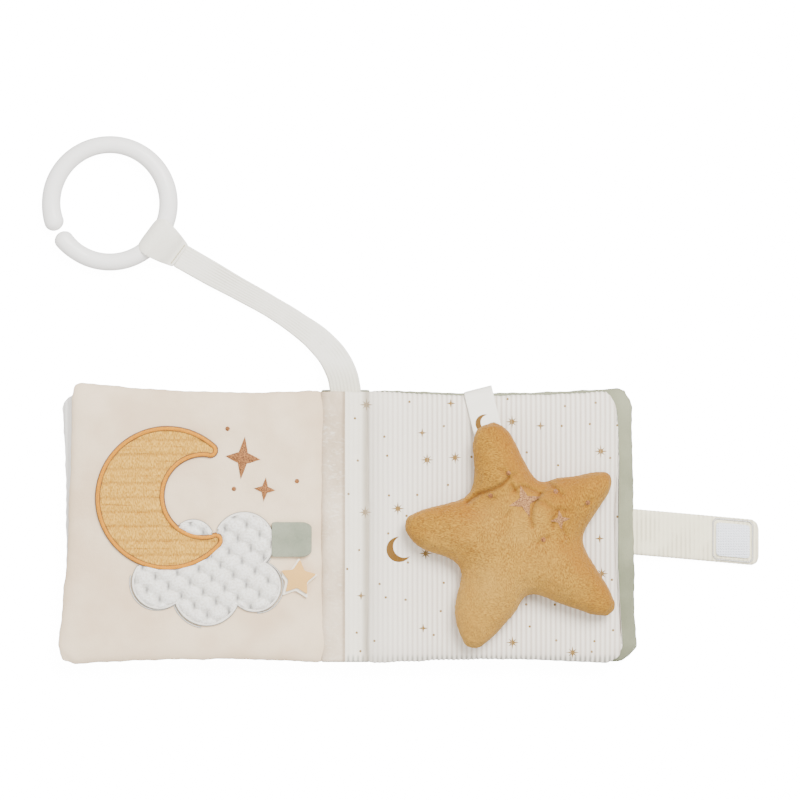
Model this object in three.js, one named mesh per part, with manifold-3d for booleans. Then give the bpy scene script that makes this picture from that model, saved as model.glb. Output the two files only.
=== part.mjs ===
// A soft cloth book for a baby's pram, lying open and flat with its pages up (+Z).
// X runs across the spread, Y up the page, and the origin is on the underside of the spine.
// Each leaf is a padded cushion of two panels; the book closes with a strap and hangs from a ring.
import * as THREE from 'three';
import { mergeVertices } from 'three/addons/utils/BufferGeometryUtils.js';
import Module from 'manifold-3d';

const wasm = await Module();
wasm.setup();

// Driving dimensions, in millimetres
const clearance = 0.3; // gap between neighbouring pieces
const seat = 0.1; // gap under flat trim that is sewn down
const cloth = 0.8; // one layer of fabric

const spineWidth = 17.8; // between the leaves' inner edges
const pageHeight = 115.6;
const pageReach = 108; // from the spine to the fore edge
const coverBeyondEnds = 0.6; // how far the covers reach past the pages at head and foot
const coverBeyondFore = 4.4; // and at the fore edge
const coverHeight = pageHeight + 2 * coverBeyondEnds;
const coverReach = pageReach + coverBeyondFore;
const leafThickness = 8.5;
const leafCorner = 6; // length of side that a rounded corner takes
const leafDrawIn = 1.6; // how far stuffing pulls the middle of a side in

const marginThickness = 1.6;
const marginHump = 0.6;
const wrapTuck = 1.7; // how far the spine wrap runs under each cover
const webThickness = 1.6;

const moonRadius = 30.8;
const moonBiteRadius = 19.5;
const moonBiteOffset = 19;
const moonTilt = 2.7; // degrees
const moonCentre = new THREE.Vector2(-75.5, 12.3);
const moonBlunt = 3.2; // length of edge that a blunted horn takes
const moonBorderWidth = 1.7;
const moonWalePitch = 6.1;
const moonWaleRise = 0.7;
const appliqueThickness = 1;
const borderThickness = 1.5;

const cloudBorderWidth = 1.5;
const cloudLobes = [
  // x, y, radius of each round of the cloud, the last three inside it
  [-79.4, -23.5, 11.3],
  [-58.7, -27.8, 14.3],
  [-37.8, -25.2, 10.8],
  [-42.5, -6.1, 12.6],
  [-64.6, -5.3, 8.7],
  [-69, -20, 8],
  [-47.5, -16.5, 10],
  [-58, -15, 14.5],
];
const dimplePitch = 6.5;
const dimpleRadius = 2.5;
const dimpleRise = 1.1;

const threadThickness = 0.5; // raised embroidery
const dotRadius = 1.1;
const starDotRadius = 1.3;

const tabLength = 15.5;
const tabWidth = 14.7;
const tabThickness = 1.8;
const tabCorner = 3;
const tabCentreY = -5.2;
const feltStarRadius = 8.7;
const feltStarCentre = new THREE.Vector2(-20, -21.7);
const feltTilt = 84; // degrees, direction of its top arm
const feltNotchShare = 0.52; // how deep the notches are, as a share of the radius
const feltRim = 1.2; // white felt showing round the face
const feltThickness = 0.9;

const plushCentre = new THREE.Vector2(73.2, -3.5);
const plushArmAngles = [104.4, 34.5, -38.4, -112.7, 172.8]; // degrees, the first hangs from the ribbon
const plushArmReach = [46.8, 46.2, 50, 50, 46.6];
const plushNotchRadius = 26.5;
const plushTipRound = 12; // length of side that a rounded tip takes
const plushNotchRound = 6;
const plushFrontDepth = 14;
const plushBackDepth = 5;

const ribbonWidth = 12.3;
const ribbonThickness = 0.6;
const ribbonLean = 0.24; // sideways shift per millimetre down the page
const ribbonCentreX = 56.5;
const ribbonTop = 1; // how far its top stands past the page's head
const ribbonDrops = [0, 1.2, 4.5, 9]; // down from its top, along the page's rounded edge
const ribbonClimb = [0, 0.62, 0.88, 1.07]; // and the share of half a leaf that it has climbed there

const closingWidth = 19.7;
const closingThickness = 2.4;
const closingRootLength = 25;
const closingTipLength = 30.3;
const closingAlong = [0, 0.35, 0.7, 1]; // shares of the root's length
const closingFall = [0, 0.27, 0.86, 1]; // and of its way down from the cover's seam to the table
const closingCorner = 4;
const closingLean = -0.09; // the strap slants down by this much per millimetre
const closingCentreY = -2.1;
const hookLength = 13.7;
const hookWidth = 14.3;
const hookFromTip = 4.2;
const patchThickness = 0.8;
const patchCorner = 1.5;
const stitchRim = 1.8; // from the hook patch to its square of stitching
const stitchWidth = 0.7;
const loopPatchLength = 24;
const loopPatchWidth = 30;
const loopPatchInset = 8; // from the front cover's fore edge

const strapThickness = 2.4;
const strapRootWidth = 12.8;
const strapEndWidth = 10.8;
const strapAnchorLength = 13.5;
const strapBends = [
  // x, and y from the head of the covers, of the points that the strap passes on its way to the ring
  [-3, 10],
  [-10.2, 19.6],
  [-20.4, 27.8],
  [-31.5, 35],
  [-46.3, 43.3],
  [-57.4, 49.5],
];
const strapFall = [0.43, 0.89, 1, 1, 1, 1]; // share of its way down to the table at each of them
const strapCreaseShare = 0.53; // of the strap's length
const strapEndLift = 0.4; // where it meets the ring's loop
const ringTube = 3.7; // radius
const ringRadius = 25.1; // to the middle of the tube
const ringGap = 2.6; // between the rounded ends
const ringGapAngle = 207.8; // degrees
const ringFromHead = new THREE.Vector2(-100.7, 79.7); // its centre, from the middle of the covers' head
const ringCentre = ringFromHead.clone().add(new THREE.Vector2(0, coverHeight / 2));
const loopAngle = -36.7; // degrees, where the strap goes round the ring
const loopWidth = 13;
const loopClearance = 0.4;
const loopTail = 11.8; // from the tube's middle to the strap's end
const loopTailPitch = 50; // degrees round the tube where the tail leaves it
const loopStitchInset = 2; // from the strap's end
const loopStitchMargin = 0.8; // from each of its edges

// Heights that follow from the leaves
const spineHalf = spineWidth / 2;
const halfLeaf = leafThickness / 2;
const coverSeamZ = halfLeaf;
const pageBottomZ = leafThickness + clearance;
const pageSeamZ = pageBottomZ + halfLeaf;
const pageTopZ = pageBottomZ + leafThickness;
const trimZ = pageTopZ + clearance; // underside of what lies on a page
const radians = THREE.MathUtils.degToRad;

const book = new THREE.Group();

const fabrics = {
  velour: [0xe2d9ce, 0.95],
  corduroy: [0xe8e4de, 0.95],
  sage: [0xb2baab, 0.95],
  wadding: [0xf4f2ee, 1],
  mustardCord: [0xdeb67a, 0.9],
  mustardThread: [0xd7a050, 0.6],
  mustardPlush: [0xd4aa64, 0.95],
  whitePlush: [0xe8e5e2, 0.95],
  whiteThread: [0xece9e4, 0.6],
  copperThread: [0xbe9169, 0.5],
  whiteFelt: [0xf0ede8, 1],
  peachFelt: [0xe2caa5, 1],
  satin: [0xe9e5df, 0.45],
  hook: [0xe9ebef, 0.7],
  plastic: [0xece9e6, 0.4],
};

function addPiece(name, geometry, fabric) {
  const [color, roughness] = fabrics[fabric];
  const mesh = new THREE.Mesh(geometry, new THREE.MeshStandardMaterial({ color, roughness }));
  mesh.name = name;
  book.add(mesh);
  return mesh;
}

// A closed skin over a stack of loops with equally many points, with a fan at each end
function skinLoops(loops, firstCentre, lastCentre) {
  const count = loops[0].length;
  const points = [...loops.flat(), firstCentre, lastCentre];
  const faces = [];
  for (let k = 0; k < loops.length - 1; k++) {
    for (let i = 0; i < count; i++) {
      const j = (i + 1) % count;
      const [a, b] = [k * count + i, k * count + j];
      faces.push(a, b, b + count, a, b + count, a + count);
    }
  }
  const first = points.length - 2;
  const last = points.length - 1;
  const end = (loops.length - 1) * count;
  for (let i = 0; i < count; i++) {
    const j = (i + 1) % count;
    faces.push(first, j, i, last, end + i, end + j);
  }
  const geometry = new THREE.BufferGeometry().setFromPoints(points);
  geometry.setIndex(signedVolume(points, faces) < 0 ? faces.reverse() : faces);
  geometry.computeVertexNormals();
  return geometry;
}

function signedVolume(points, faces) {
  let sum = 0;
  for (let i = 0; i < faces.length; i += 3) {
    const [a, b, c] = [points[faces[i]], points[faces[i + 1]], points[faces[i + 2]]];
    sum += a.dot(b.clone().cross(c));
  }
  return sum / 6;
}

function prism(shape, bottomZ, height, segments = 8) {
  const options = { depth: height, bevelEnabled: false, curveSegments: segments };
  return new THREE.ExtrudeGeometry(shape, options).translate(0, 0, bottomZ);
}

function toSolid(geometry) {
  const bare = geometry.clone();
  bare.deleteAttribute('normal');
  bare.deleteAttribute('uv');
  const merged = mergeVertices(bare, 1e-4);
  const mesh = new wasm.Mesh({
    numProp: 3,
    vertProperties: new Float32Array(merged.attributes.position.array),
    triVerts: new Uint32Array(merged.index.array),
  });
  return new wasm.Manifold(mesh);
}

function fromSolid(solid) {
  const mesh = solid.getMesh();
  const geometry = new THREE.BufferGeometry();
  geometry.setAttribute('position', new THREE.BufferAttribute(mesh.vertProperties, 3));
  geometry.setIndex(new THREE.BufferAttribute(mesh.triVerts, 1));
  return geometry;
}

// Moves each point of a flat piece up by the height of the surface below it
function drape(geometry, surface) {
  const down = new THREE.Vector3(0, 0, -1);
  const position = geometry.attributes.position;
  for (let i = 0; i < position.count; i++) {
    const from = new THREE.Vector3(position.getX(i), position.getY(i), pageHeight);
    const hit = new THREE.Raycaster(from, down).intersectObject(surface)[0];
    position.setZ(i, position.getZ(i) + hit.point.z);
  }
  return geometry;
}

// Slants a flat piece: what is further along one axis shifts along the other
function slantY(geometry, fromX, lean) {
  const position = geometry.attributes.position;
  for (let i = 0; i < position.count; i++) {
    position.setY(i, position.getY(i) + (position.getX(i) - fromX) * lean);
  }
  return geometry;
}

function slantX(geometry, fromY, lean) {
  const position = geometry.attributes.position;
  for (let i = 0; i < position.count; i++) {
    position.setX(i, position.getX(i) + (fromY - position.getY(i)) * lean);
  }
  return geometry;
}

// Outlines

// A polygon whose corners are rounded; each corner gives the length of side that it takes
function roundedCorner(before, corner, after, take) {
  const from = corner.clone().lerp(before, take / corner.distanceTo(before));
  const to = corner.clone().lerp(after, take / corner.distanceTo(after));
  return new THREE.QuadraticBezierCurve(from, corner, to);
}

function softOutline(corners, takes, cornerSteps, sideSteps, drawIn) {
  const count = corners.length;
  const bends = corners.map((corner, i) =>
    roundedCorner(corners[(i + count - 1) % count], corner, corners[(i + 1) % count], takes[i]));
  const middle = corners.reduce((sum, c) => sum.add(c), new THREE.Vector2()).divideScalar(count);
  return bends.flatMap((bend, i) => {
    const points = bend.getPoints(cornerSteps);
    const start = bend.v2;
    const end = bends[(i + 1) % count].v0;
    const across = end.clone().sub(start).rotateAround(new THREE.Vector2(), Math.PI / 2).normalize();
    if (across.dot(middle.clone().sub(start)) < 0) across.negate();
    for (let k = 1; k < sideSteps; k++) {
      const t = k / sideSteps;
      points.push(start.clone().lerp(end, t).addScaledVector(across, drawIn * Math.sin(Math.PI * t)));
    }
    return points;
  });
}

function roundedRectangle(x0, y0, x1, y1, corner) {
  const corners = [[x0, y0], [x1, y0], [x1, y1], [x0, y1]].map((p) => new THREE.Vector2(...p));
  return new THREE.Shape(softOutline(corners, corners.map(() => corner), 3, 1, 0));
}

// A crescent: a disc with a bite out of it, its two horns blunted
function crescent(centre, radius, biteRadius, biteOffset, tilt, blunt) {
  const along = (radius ** 2 - biteRadius ** 2 + biteOffset ** 2) / (2 * biteOffset);
  const across = Math.sqrt(radius ** 2 - along ** 2);
  const hornAngle = Math.atan2(across, along) + blunt / radius;
  const biteAngle = Math.atan2(across, along - biteOffset) + blunt / biteRadius;
  const turn = radians(tilt);
  const at = (x, y) => new THREE.Vector2(x, y).rotateAround(new THREE.Vector2(), turn).add(centre);
  const bite = at(biteOffset, 0);
  const shape = new THREE.Shape();
  const start = at(radius * Math.cos(hornAngle), radius * Math.sin(hornAngle));
  shape.moveTo(start.x, start.y);
  shape.absarc(centre.x, centre.y, radius, turn + hornAngle, turn + 2 * Math.PI - hornAngle);
  const lowHorn = at(along, -across);
  const lowBite = at(biteOffset + biteRadius * Math.cos(biteAngle), -biteRadius * Math.sin(biteAngle));
  shape.quadraticCurveTo(lowHorn.x, lowHorn.y, lowBite.x, lowBite.y);
  shape.absarc(bite.x, bite.y, biteRadius, turn + 2 * Math.PI - biteAngle, turn + biteAngle, true);
  const highHorn = at(along, across);
  shape.quadraticCurveTo(highHorn.x, highHorn.y, start.x, start.y);
  return shape;
}

// A sparkle: four points with hollow sides
function sparkle(centre, halfWidth, halfHeight) {
  const waist = 0.16;
  const shape = new THREE.Shape();
  shape.moveTo(centre.x, centre.y + halfHeight);
  for (const [sx, sy, x, y] of [[1, 1, 1, 0], [1, -1, 0, -1], [-1, -1, -1, 0], [-1, 1, 0, 1]]) {
    shape.quadraticCurveTo(
      centre.x + sx * waist * halfWidth, centre.y + sy * waist * halfHeight,
      centre.x + x * halfWidth, centre.y + y * halfHeight);
  }
  return shape;
}

// A five-armed star; each arm reaches its length once its tip is rounded
function starOutline(centre, angles, reaches, notchRadius, tipRound, notchRound, sideSteps) {
  const tipLoss = 0.44; // share of the length it takes that rounding cuts off a tip
  const corners = [];
  const takes = [];
  angles.forEach((angle, i) => {
    const nextAngle = angles[(i + 1) % angles.length];
    const gap = ((nextAngle - angle + 180) % 360 + 360) % 360 - 180;
    const sharp = reaches[i] + tipRound * tipLoss;
    const tip = new THREE.Vector2(sharp, 0).rotateAround(new THREE.Vector2(), radians(angle));
    const notch = new THREE.Vector2(notchRadius, 0)
      .rotateAround(new THREE.Vector2(), radians(angle + gap / 2));
    corners.push(tip.add(centre), notch.add(centre));
    takes.push(tipRound, notchRound);
  });
  return softOutline(corners, takes, 3, sideSteps, 0);
}

function inward(outline, distance) {
  const turning = THREE.ShapeUtils.isClockWise(outline) ? -1 : 1;
  return outline.map((point, i) => {
    const before = outline[(i + outline.length - 1) % outline.length];
    const after = outline[(i + 1) % outline.length];
    const along = after.clone().sub(before).normalize();
    return new THREE.Vector2(point.x - turning * along.y * distance, point.y + turning * along.x * distance);
  });
}

// Leaves: a bottom panel, a top panel and the padding between them, sewn together at the seam
// Each step in from the seam: how far in, and the share of the full height that the panel has there
const leafPuff = [[0, 0], [1.5, 0.55], [5, 0.85], [16, 1]];

function leafCorners(side, reach, height, ears) {
  const inner = side * spineHalf;
  const outer = side * (spineHalf + reach);
  const half = height / 2;
  return [
    new THREE.Vector2(inner, -half),
    new THREE.Vector2(outer + side * ears.lowerOut, -half - ears.lowerDown),
    new THREE.Vector2(outer + side * ears.upperOut, half + ears.upperUp),
    new THREE.Vector2(inner, half),
  ];
}

function leafLoop(outline, inset, z) {
  const box = new THREE.Box2().setFromPoints(outline);
  const centre = box.getCenter(new THREE.Vector2());
  const half = box.getSize(new THREE.Vector2()).divideScalar(2);
  return outline.map((p) => new THREE.Vector3(
    centre.x + (p.x - centre.x) * (1 - inset / half.x),
    centre.y + (p.y - centre.y) * (1 - inset / half.y),
    z));
}

function middleOf(loop) {
  return loop.reduce((sum, p) => sum.add(p), new THREE.Vector3()).divideScalar(loop.length);
}

function leafPanel(outline, seamZ, up) {
  const rise = halfLeaf - clearance / 2;
  const height = (share) => share * rise;
  const outside = leafPuff.map(([inset, share]) =>
    leafLoop(outline, inset, seamZ + up * (clearance / 2 + height(share))));
  const inside = leafPuff.map(([inset, share]) =>
    leafLoop(outline, inset + cloth, seamZ + up * (clearance / 2 + Math.max(0, height(share) - cloth))));
  const loops = [...outside.reverse(), ...inside];
  return skinLoops(loops, middleOf(loops[0]), middleOf(loops[loops.length - 1]));
}

function leafPadding(outline, seamZ) {
  const rise = halfLeaf - cloth - 1.5 * clearance;
  const half = (up) => leafPuff.slice(1).map(([inset, share]) =>
    leafLoop(outline, inset + cloth + 1.5 * clearance, seamZ + up * (share * (rise + cloth) - cloth)));
  const rim = leafLoop(outline, cloth + 1.5 * clearance, seamZ);
  const loops = [...half(1).reverse(), rim, ...half(-1)];
  return skinLoops(loops, middleOf(loops[0]), middleOf(loops[loops.length - 1]));
}

const noEars = { upperOut: 0, upperUp: 0, lowerOut: 0, lowerDown: 0 };
const leaves = {
  front_cover: { side: -1, reach: coverReach, height: coverHeight, seamZ: coverSeamZ,
    ears: noEars, top: ['inner', 'velour'], bottom: ['outer', 'corduroy'] },
  back_cover: { side: 1, reach: coverReach, height: coverHeight, seamZ: coverSeamZ,
    ears: { upperOut: -1.5, upperUp: 0.8, lowerOut: 1.2, lowerDown: 0 },
    top: ['inner', 'sage'], bottom: ['outer', 'sage'] },
  moon_page: { side: -1, reach: pageReach, height: pageHeight, seamZ: pageSeamZ,
    ears: { upperOut: -0.5, upperUp: 3.8, lowerOut: 6, lowerDown: 1 },
    top: ['front', 'velour'], bottom: ['back', 'velour'] },
  star_page: { side: 1, reach: pageReach, height: pageHeight, seamZ: pageSeamZ,
    ears: { upperOut: -1, upperUp: 0, lowerOut: 2, lowerDown: 0.5 },
    top: ['front', 'corduroy'], bottom: ['back', 'sage'] },
};
for (const [name, leaf] of Object.entries(leaves)) {
  const corners = leafCorners(leaf.side, leaf.reach, leaf.height, leaf.ears);
  const outline = softOutline(corners, corners.map(() => leafCorner), 3, 5, leafDrawIn);
  leaf.outline = outline;
  addPiece(`${name}_${leaf.top[0]}`, leafPanel(outline, leaf.seamZ, 1), leaf.top[1]);
  addPiece(`${name}_padding`, leafPadding(outline, leaf.seamZ), 'wadding');
  addPiece(`${name}_${leaf.bottom[0]}`, leafPanel(outline, leaf.seamZ, -1), leaf.bottom[1]);
}

// Spine: two flat margins side by side, the wrap under them and the web that ties them together
const marginTopZ = pageSeamZ + marginThickness / 2;
const marginWidth = spineHalf - 1.5 * clearance;

function marginStrip(side) {
  const bottomZ = marginTopZ - marginThickness;
  const start = side * clearance / 2;
  const end = start + side * marginWidth;
  const profile = new THREE.Shape();
  profile.moveTo(start, bottomZ);
  profile.lineTo(end, bottomZ);
  profile.lineTo(end, marginTopZ);
  profile.quadraticCurveTo((start + end) / 2, marginTopZ + 2 * marginHump, start, marginTopZ);
  const length = pageHeight - 2 * clearance;
  return prism(profile, -length / 2, length, 4).rotateX(Math.PI / 2);
}
addPiece('velour_margin', marginStrip(-1), 'velour');
addPiece('corduroy_margin', marginStrip(1), 'corduroy');

const wrapHalf = spineHalf + wrapTuck;
addPiece('spine_wrap',
  prism(roundedRectangle(-wrapHalf, -coverHeight / 2, wrapHalf, coverHeight / 2, 2), 0, cloth, 3), 'sage');

const webBottomZ = cloth + seat;
const webTopZ = marginTopZ - marginThickness - seat;
const anchorStartY = pageHeight / 2 - strapAnchorLength;
const webLength = pageHeight / 2 + anchorStartY - 4 * clearance;
addPiece('spine_web',
  new THREE.BoxGeometry(webThickness, webLength, webTopZ - webBottomZ)
    .translate(0, anchorStartY - clearance - webLength / 2, (webTopZ + webBottomZ) / 2), 'wadding');

// Moon: a crescent of wide-wale cord inside a satin-stitched border
const moonShape = (grow, blunt) => crescent(
  moonCentre, moonRadius + grow, moonBiteRadius - grow, moonBiteOffset, moonTilt, blunt);
const moonEdge = moonBorderWidth + clearance;
const cutterHeight = 10; // taller than any applique

function walesOver(width, height, pitch, bottomZ) {
  const profile = new THREE.Shape();
  const count = Math.ceil(height / pitch);
  profile.moveTo(0, 0);
  profile.lineTo(0, appliqueThickness);
  for (let i = 0; i < count; i++) {
    profile.lineTo((i + 0.2) * pitch, appliqueThickness + moonWaleRise);
    profile.lineTo((i + 0.8) * pitch, appliqueThickness + moonWaleRise);
    profile.lineTo((i + 1) * pitch, appliqueThickness);
  }
  profile.lineTo(count * pitch, 0);
  return prism(profile, 0, width).rotateX(Math.PI / 2).rotateZ(Math.PI / 2)
    .translate(0, -count * pitch / 2, bottomZ);
}
const moonWales = walesOver(3 * moonRadius, 2.2 * moonRadius, moonWalePitch, trimZ)
  .translate(moonCentre.x - 1.5 * moonRadius, moonCentre.y, 0);
const moonPrism = prism(moonShape(-moonEdge, moonBlunt), trimZ, cutterHeight, 14);
addPiece('moon_applique', fromSolid(toSolid(moonPrism).intersect(toSolid(moonWales))), 'mustardCord');
const moonBorderShape = moonShape(0, moonBlunt);
moonBorderShape.holes.push(moonShape(-moonBorderWidth, moonBlunt));
addPiece('moon_border', prism(moonBorderShape, trimZ, borderThickness, 14), 'mustardThread');

// Cloud: round lobes of dimpled plush, tucked under the moon
function lobesSolid(grow, height, segments) {
  const lobes = cloudLobes.map(([x, y, radius]) => toSolid(
    new THREE.CylinderGeometry(radius + grow, radius + grow, height, segments).rotateX(Math.PI / 2)
      .translate(x, y, trimZ + height / 2)));
  return lobes.reduce((sum, lobe) => sum.add(lobe));
}
const underMoon = toSolid(prism(moonShape(clearance, moonBlunt), trimZ - seat, cutterHeight, 14));

function onCloud(x, y, margin) {
  const inLobe = cloudLobes.some(([lx, ly, radius]) => Math.hypot(x - lx, y - ly) < radius - margin);
  const bite = new THREE.Vector2(moonBiteOffset, 0)
    .rotateAround(new THREE.Vector2(), radians(moonTilt)).add(moonCentre);
  const outsideMoon = Math.hypot(x - moonCentre.x, y - moonCentre.y) > moonRadius + margin;
  const inBite = Math.hypot(x - bite.x, y - bite.y) < moonBiteRadius - margin;
  return inLobe && (outsideMoon || inBite);
}

function dimples() {
  const solids = [];
  const [middleX, middleY] = cloudLobes[cloudLobes.length - 1];
  const reaches = cloudLobes.map(([x, y, radius]) => Math.hypot(x - middleX, y - middleY) + radius);
  const span = Math.ceil(Math.max(...reaches) / dimplePitch);
  for (let row = -2 * span; row <= 2 * span; row++) {
    for (let column = -span; column <= span; column++) {
      const x = middleX + (column + (row % 2 ? 0.5 : 0)) * dimplePitch;
      const y = middleY + row * dimplePitch / 2;
      if (!onCloud(x, y, dimpleRadius + cloudBorderWidth + clearance)) continue;
      const height = dimpleRise + appliqueThickness / 2;
      solids.push(toSolid(new THREE.CylinderGeometry(dimpleRadius / 2, dimpleRadius, height, 6)
        .rotateX(Math.PI / 2).translate(x, y, trimZ + appliqueThickness + dimpleRise - height / 2)));
    }
  }
  return solids;
}
const cloudPlate = lobesSolid(-cloudBorderWidth - clearance, appliqueThickness, 24).subtract(underMoon);
addPiece('cloud_applique',
  fromSolid(dimples().reduce((sum, dimple) => sum.add(dimple), cloudPlate)), 'whitePlush');
const cloudRing = lobesSolid(0, borderThickness, 24)
  .subtract(lobesSolid(-cloudBorderWidth, 3 * borderThickness, 24)).subtract(underMoon);
addPiece('cloud_border', fromSolid(cloudRing), 'whiteThread');

// Embroidery on the moon page
const pageSparkles = { sparkle_large: [-43.4, 29.4, 7.5, 9.1], sparkle_small: [-34.1, 16, 4.6, 5.2] };
for (const [name, [x, y, halfWidth, halfHeight]] of Object.entries(pageSparkles)) {
  const shape = sparkle(new THREE.Vector2(x, y), halfWidth, halfHeight);
  addPiece(name, prism(shape, pageTopZ + seat, threadThickness, 4), 'copperThread');
}
const pageDots = { dot_upper: [-49.9, 41.8], dot_middle: [-47.2, 16.2], dot_right: [-20.4, 19.5] };
for (const [name, [x, y]] of Object.entries(pageDots)) {
  const dot = new THREE.CylinderGeometry(dotRadius, dotRadius, threadThickness, 12).rotateX(Math.PI / 2);
  addPiece(name, dot.translate(x, y, pageTopZ + seat + threadThickness / 2), 'copperThread');
}

// Flaps at the cloud's right edge: a velour tab and a felt star, each turning about its sewn edge
const [tabLobeX, , tabLobeRadius] = cloudLobes[3];
const tabRootX = tabLobeX + tabLobeRadius + clearance;
const tabShape = new THREE.Shape();
tabShape.moveTo(tabRootX, tabCentreY - tabWidth / 2);
tabShape.lineTo(tabRootX + tabLength - tabCorner, tabCentreY - tabWidth / 2);
tabShape.absarc(tabRootX + tabLength - tabCorner, tabCentreY - tabWidth / 2 + tabCorner, tabCorner,
  -Math.PI / 2, 0);
tabShape.absarc(tabRootX + tabLength - tabCorner, tabCentreY + tabWidth / 2 - tabCorner, tabCorner,
  0, Math.PI / 2);
tabShape.lineTo(tabRootX, tabCentreY + tabWidth / 2);
addPiece('sage_tab', prism(tabShape, trimZ, tabThickness, 4), 'sage');

const [feltLobeX, , feltLobeRadius] = cloudLobes[2];
const feltRootX = feltLobeX + feltLobeRadius + clearance;
const feltAngles = [0, 1, 2, 3, 4].map((i) => feltTilt + 72 * i);

function feltLayer(radius, bottomZ) {
  const outline = starOutline(feltStarCentre, feltAngles, feltAngles.map(() => radius),
    radius * feltNotchShare, radius * 0.3, radius * 0.2, 1);
  const sewnIn = new THREE.BoxGeometry(4 * radius, 4 * radius, 8 * feltThickness)
    .translate(feltRootX - 2 * radius, feltStarCentre.y, bottomZ);
  return fromSolid(toSolid(prism(new THREE.Shape(outline), bottomZ, feltThickness)).subtract(toSolid(sewnIn)));
}
addPiece('felt_star_backing', feltLayer(feltStarRadius, trimZ), 'whiteFelt');
addPiece('felt_star_face', feltLayer(feltStarRadius - feltRim, trimZ + feltThickness + seat), 'peachFelt');

// Plush star: a front skin, a back skin that lies flat on the page, and the stuffing between them
// Each step in from the seam: the share of the outline's size, and of the full depth there
const plushFrontPuff = [[1, 0], [0.95, 0.4], [0.82, 0.68], [0.6, 0.88], [0.3, 0.98]];
const plushBackPuff = [[1, 0], [0.95, 0.5], [0.82, 0.85], [0.6, 1], [0.3, 1]];
const plushSeamZ = trimZ + plushBackDepth;
const plushOutline = starOutline(
  plushCentre, plushArmAngles, plushArmReach, plushNotchRadius, plushTipRound, plushNotchRound, 2);

function plushLoop(outline, scale, z) {
  return outline.map((p) => {
    const flat = p.clone().sub(plushCentre).multiplyScalar(scale).add(plushCentre);
    return new THREE.Vector3(flat.x, flat.y, z);
  });
}

function plushSkin(puff, depth, up) {
  const rise = depth - clearance / 2;
  const inner = inward(plushOutline, cloth);
  const outside = puff.map(([scale, share]) =>
    plushLoop(plushOutline, scale, plushSeamZ + up * (clearance / 2 + share * rise)));
  const inside = puff.map(([scale, share]) =>
    plushLoop(inner, scale, plushSeamZ + up * (clearance / 2 + Math.max(0, share * rise - cloth))));
  const loops = [...outside.reverse(), ...inside];
  return skinLoops(loops, middleOf(loops[0]).setZ(plushSeamZ + up * depth),
    middleOf(loops[loops.length - 1]).setZ(plushSeamZ + up * (depth - cloth)));
}

function plushStuffing() {
  const inset = cloth + 1.5 * clearance;
  const outline = inward(plushOutline, inset);
  const half = (puff, depth, up) => puff.slice(1).map(([scale, share]) =>
    plushLoop(outline, scale, plushSeamZ + up * Math.max(0, share * depth - inset)));
  const front = half(plushFrontPuff, plushFrontDepth, 1);
  const back = half(plushBackPuff, plushBackDepth, -1);
  const loops = [...front.reverse(), plushLoop(outline, 1, plushSeamZ), ...back];
  return skinLoops(loops, middleOf(loops[0]).setZ(plushSeamZ + plushFrontDepth - inset),
    middleOf(loops[loops.length - 1]));
}
const plushFront = addPiece('plush_star_front', plushSkin(plushFrontPuff, plushFrontDepth, 1), 'mustardPlush');
addPiece('plush_star_stuffing', plushStuffing(), 'wadding');
addPiece('plush_star_back', plushSkin(plushBackPuff, plushBackDepth, -1), 'mustardPlush');

const plushSparkles = { star_sparkle_large: [76, 11.3, 6.6], star_sparkle_small: [90.9, 3.5, 4] };
for (const [name, [x, y, half]] of Object.entries(plushSparkles)) {
  const shape = sparkle(new THREE.Vector2(x, y), half, half);
  addPiece(name, drape(prism(shape, clearance, threadThickness, 4), plushFront), 'copperThread');
}
const plushDots = [[69.1, 23.2], [61.6, 13.6], [89.1, 15.4], [102.6, 10.7], [83.7, -4.8]];
plushDots.forEach(([x, y], i) => {
  const dot = new THREE.CylinderGeometry(starDotRadius, starDotRadius, threadThickness, 10)
    .rotateX(Math.PI / 2).translate(x, y, clearance + threadThickness / 2);
  addPiece(`star_dot_${i + 1}`, drape(dot, plushFront), 'copperThread');
});

// A band swept along a course: six-sided section, its width level
function band(stations, thickness) {
  const loops = stations.map(({ at, along, across, width }) => {
    const up = across.clone().cross(along).normalize();
    if (up.z < 0) up.negate();
    const flat = width / 2 - thickness / 3;
    return [[width / 2, 0], [flat, 0.5], [-flat, 0.5], [-width / 2, 0], [-flat, -0.5], [flat, -0.5]]
      .map(([a, b]) => at.clone().addScaledVector(across, a).addScaledVector(up, b * thickness));
  });
  return skinLoops(loops, stations[0].at, stations[stations.length - 1].at);
}

function bandAlong(curve, from, to, steps, widthAt, thickness, acrossAt, squareEnds = []) {
  const length = curve.getLength();
  const stations = [];
  for (let i = 0; i <= steps; i++) {
    const u = Math.min(1, (from + (to - from) * i / steps) / length);
    const along = squareEnds[i / steps] ?? curve.getTangentAt(u);
    stations.push({ at: curve.getPointAt(u), along, across: acrossAt(along), width: widthAt(u) });
  }
  return band(stations, thickness);
}
const levelAcross = (along) => new THREE.Vector3(along.y, -along.x, 0).normalize();

// Ribbon: from the page's top seam over its edge to the plush star's upper tip
const ribbonTopY = pageHeight / 2 + ribbonTop;
const ribbonEndY = plushOutline.reduce((top, p) => Math.max(top, p.y), -Infinity) + clearance;
const ribbonLift = clearance + ribbonThickness / 2;
const ribbonPoints = ribbonDrops.map((drop, i) => new THREE.Vector3(
  ribbonCentreX, ribbonTopY - drop, pageSeamZ + halfLeaf * ribbonClimb[i] + ribbonLift));
const ribbonCourse = new THREE.CatmullRomCurve3(
  [...ribbonPoints, new THREE.Vector3(ribbonCentreX, ribbonEndY, plushSeamZ)]);
const ribbon = bandAlong(ribbonCourse, 0, ribbonCourse.getLength(), 14,
  () => ribbonWidth, ribbonThickness, () => new THREE.Vector3(1, 0, 0));
addPiece('ribbon', slantX(ribbon, ribbonTopY, ribbonLean), 'satin');

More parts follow.
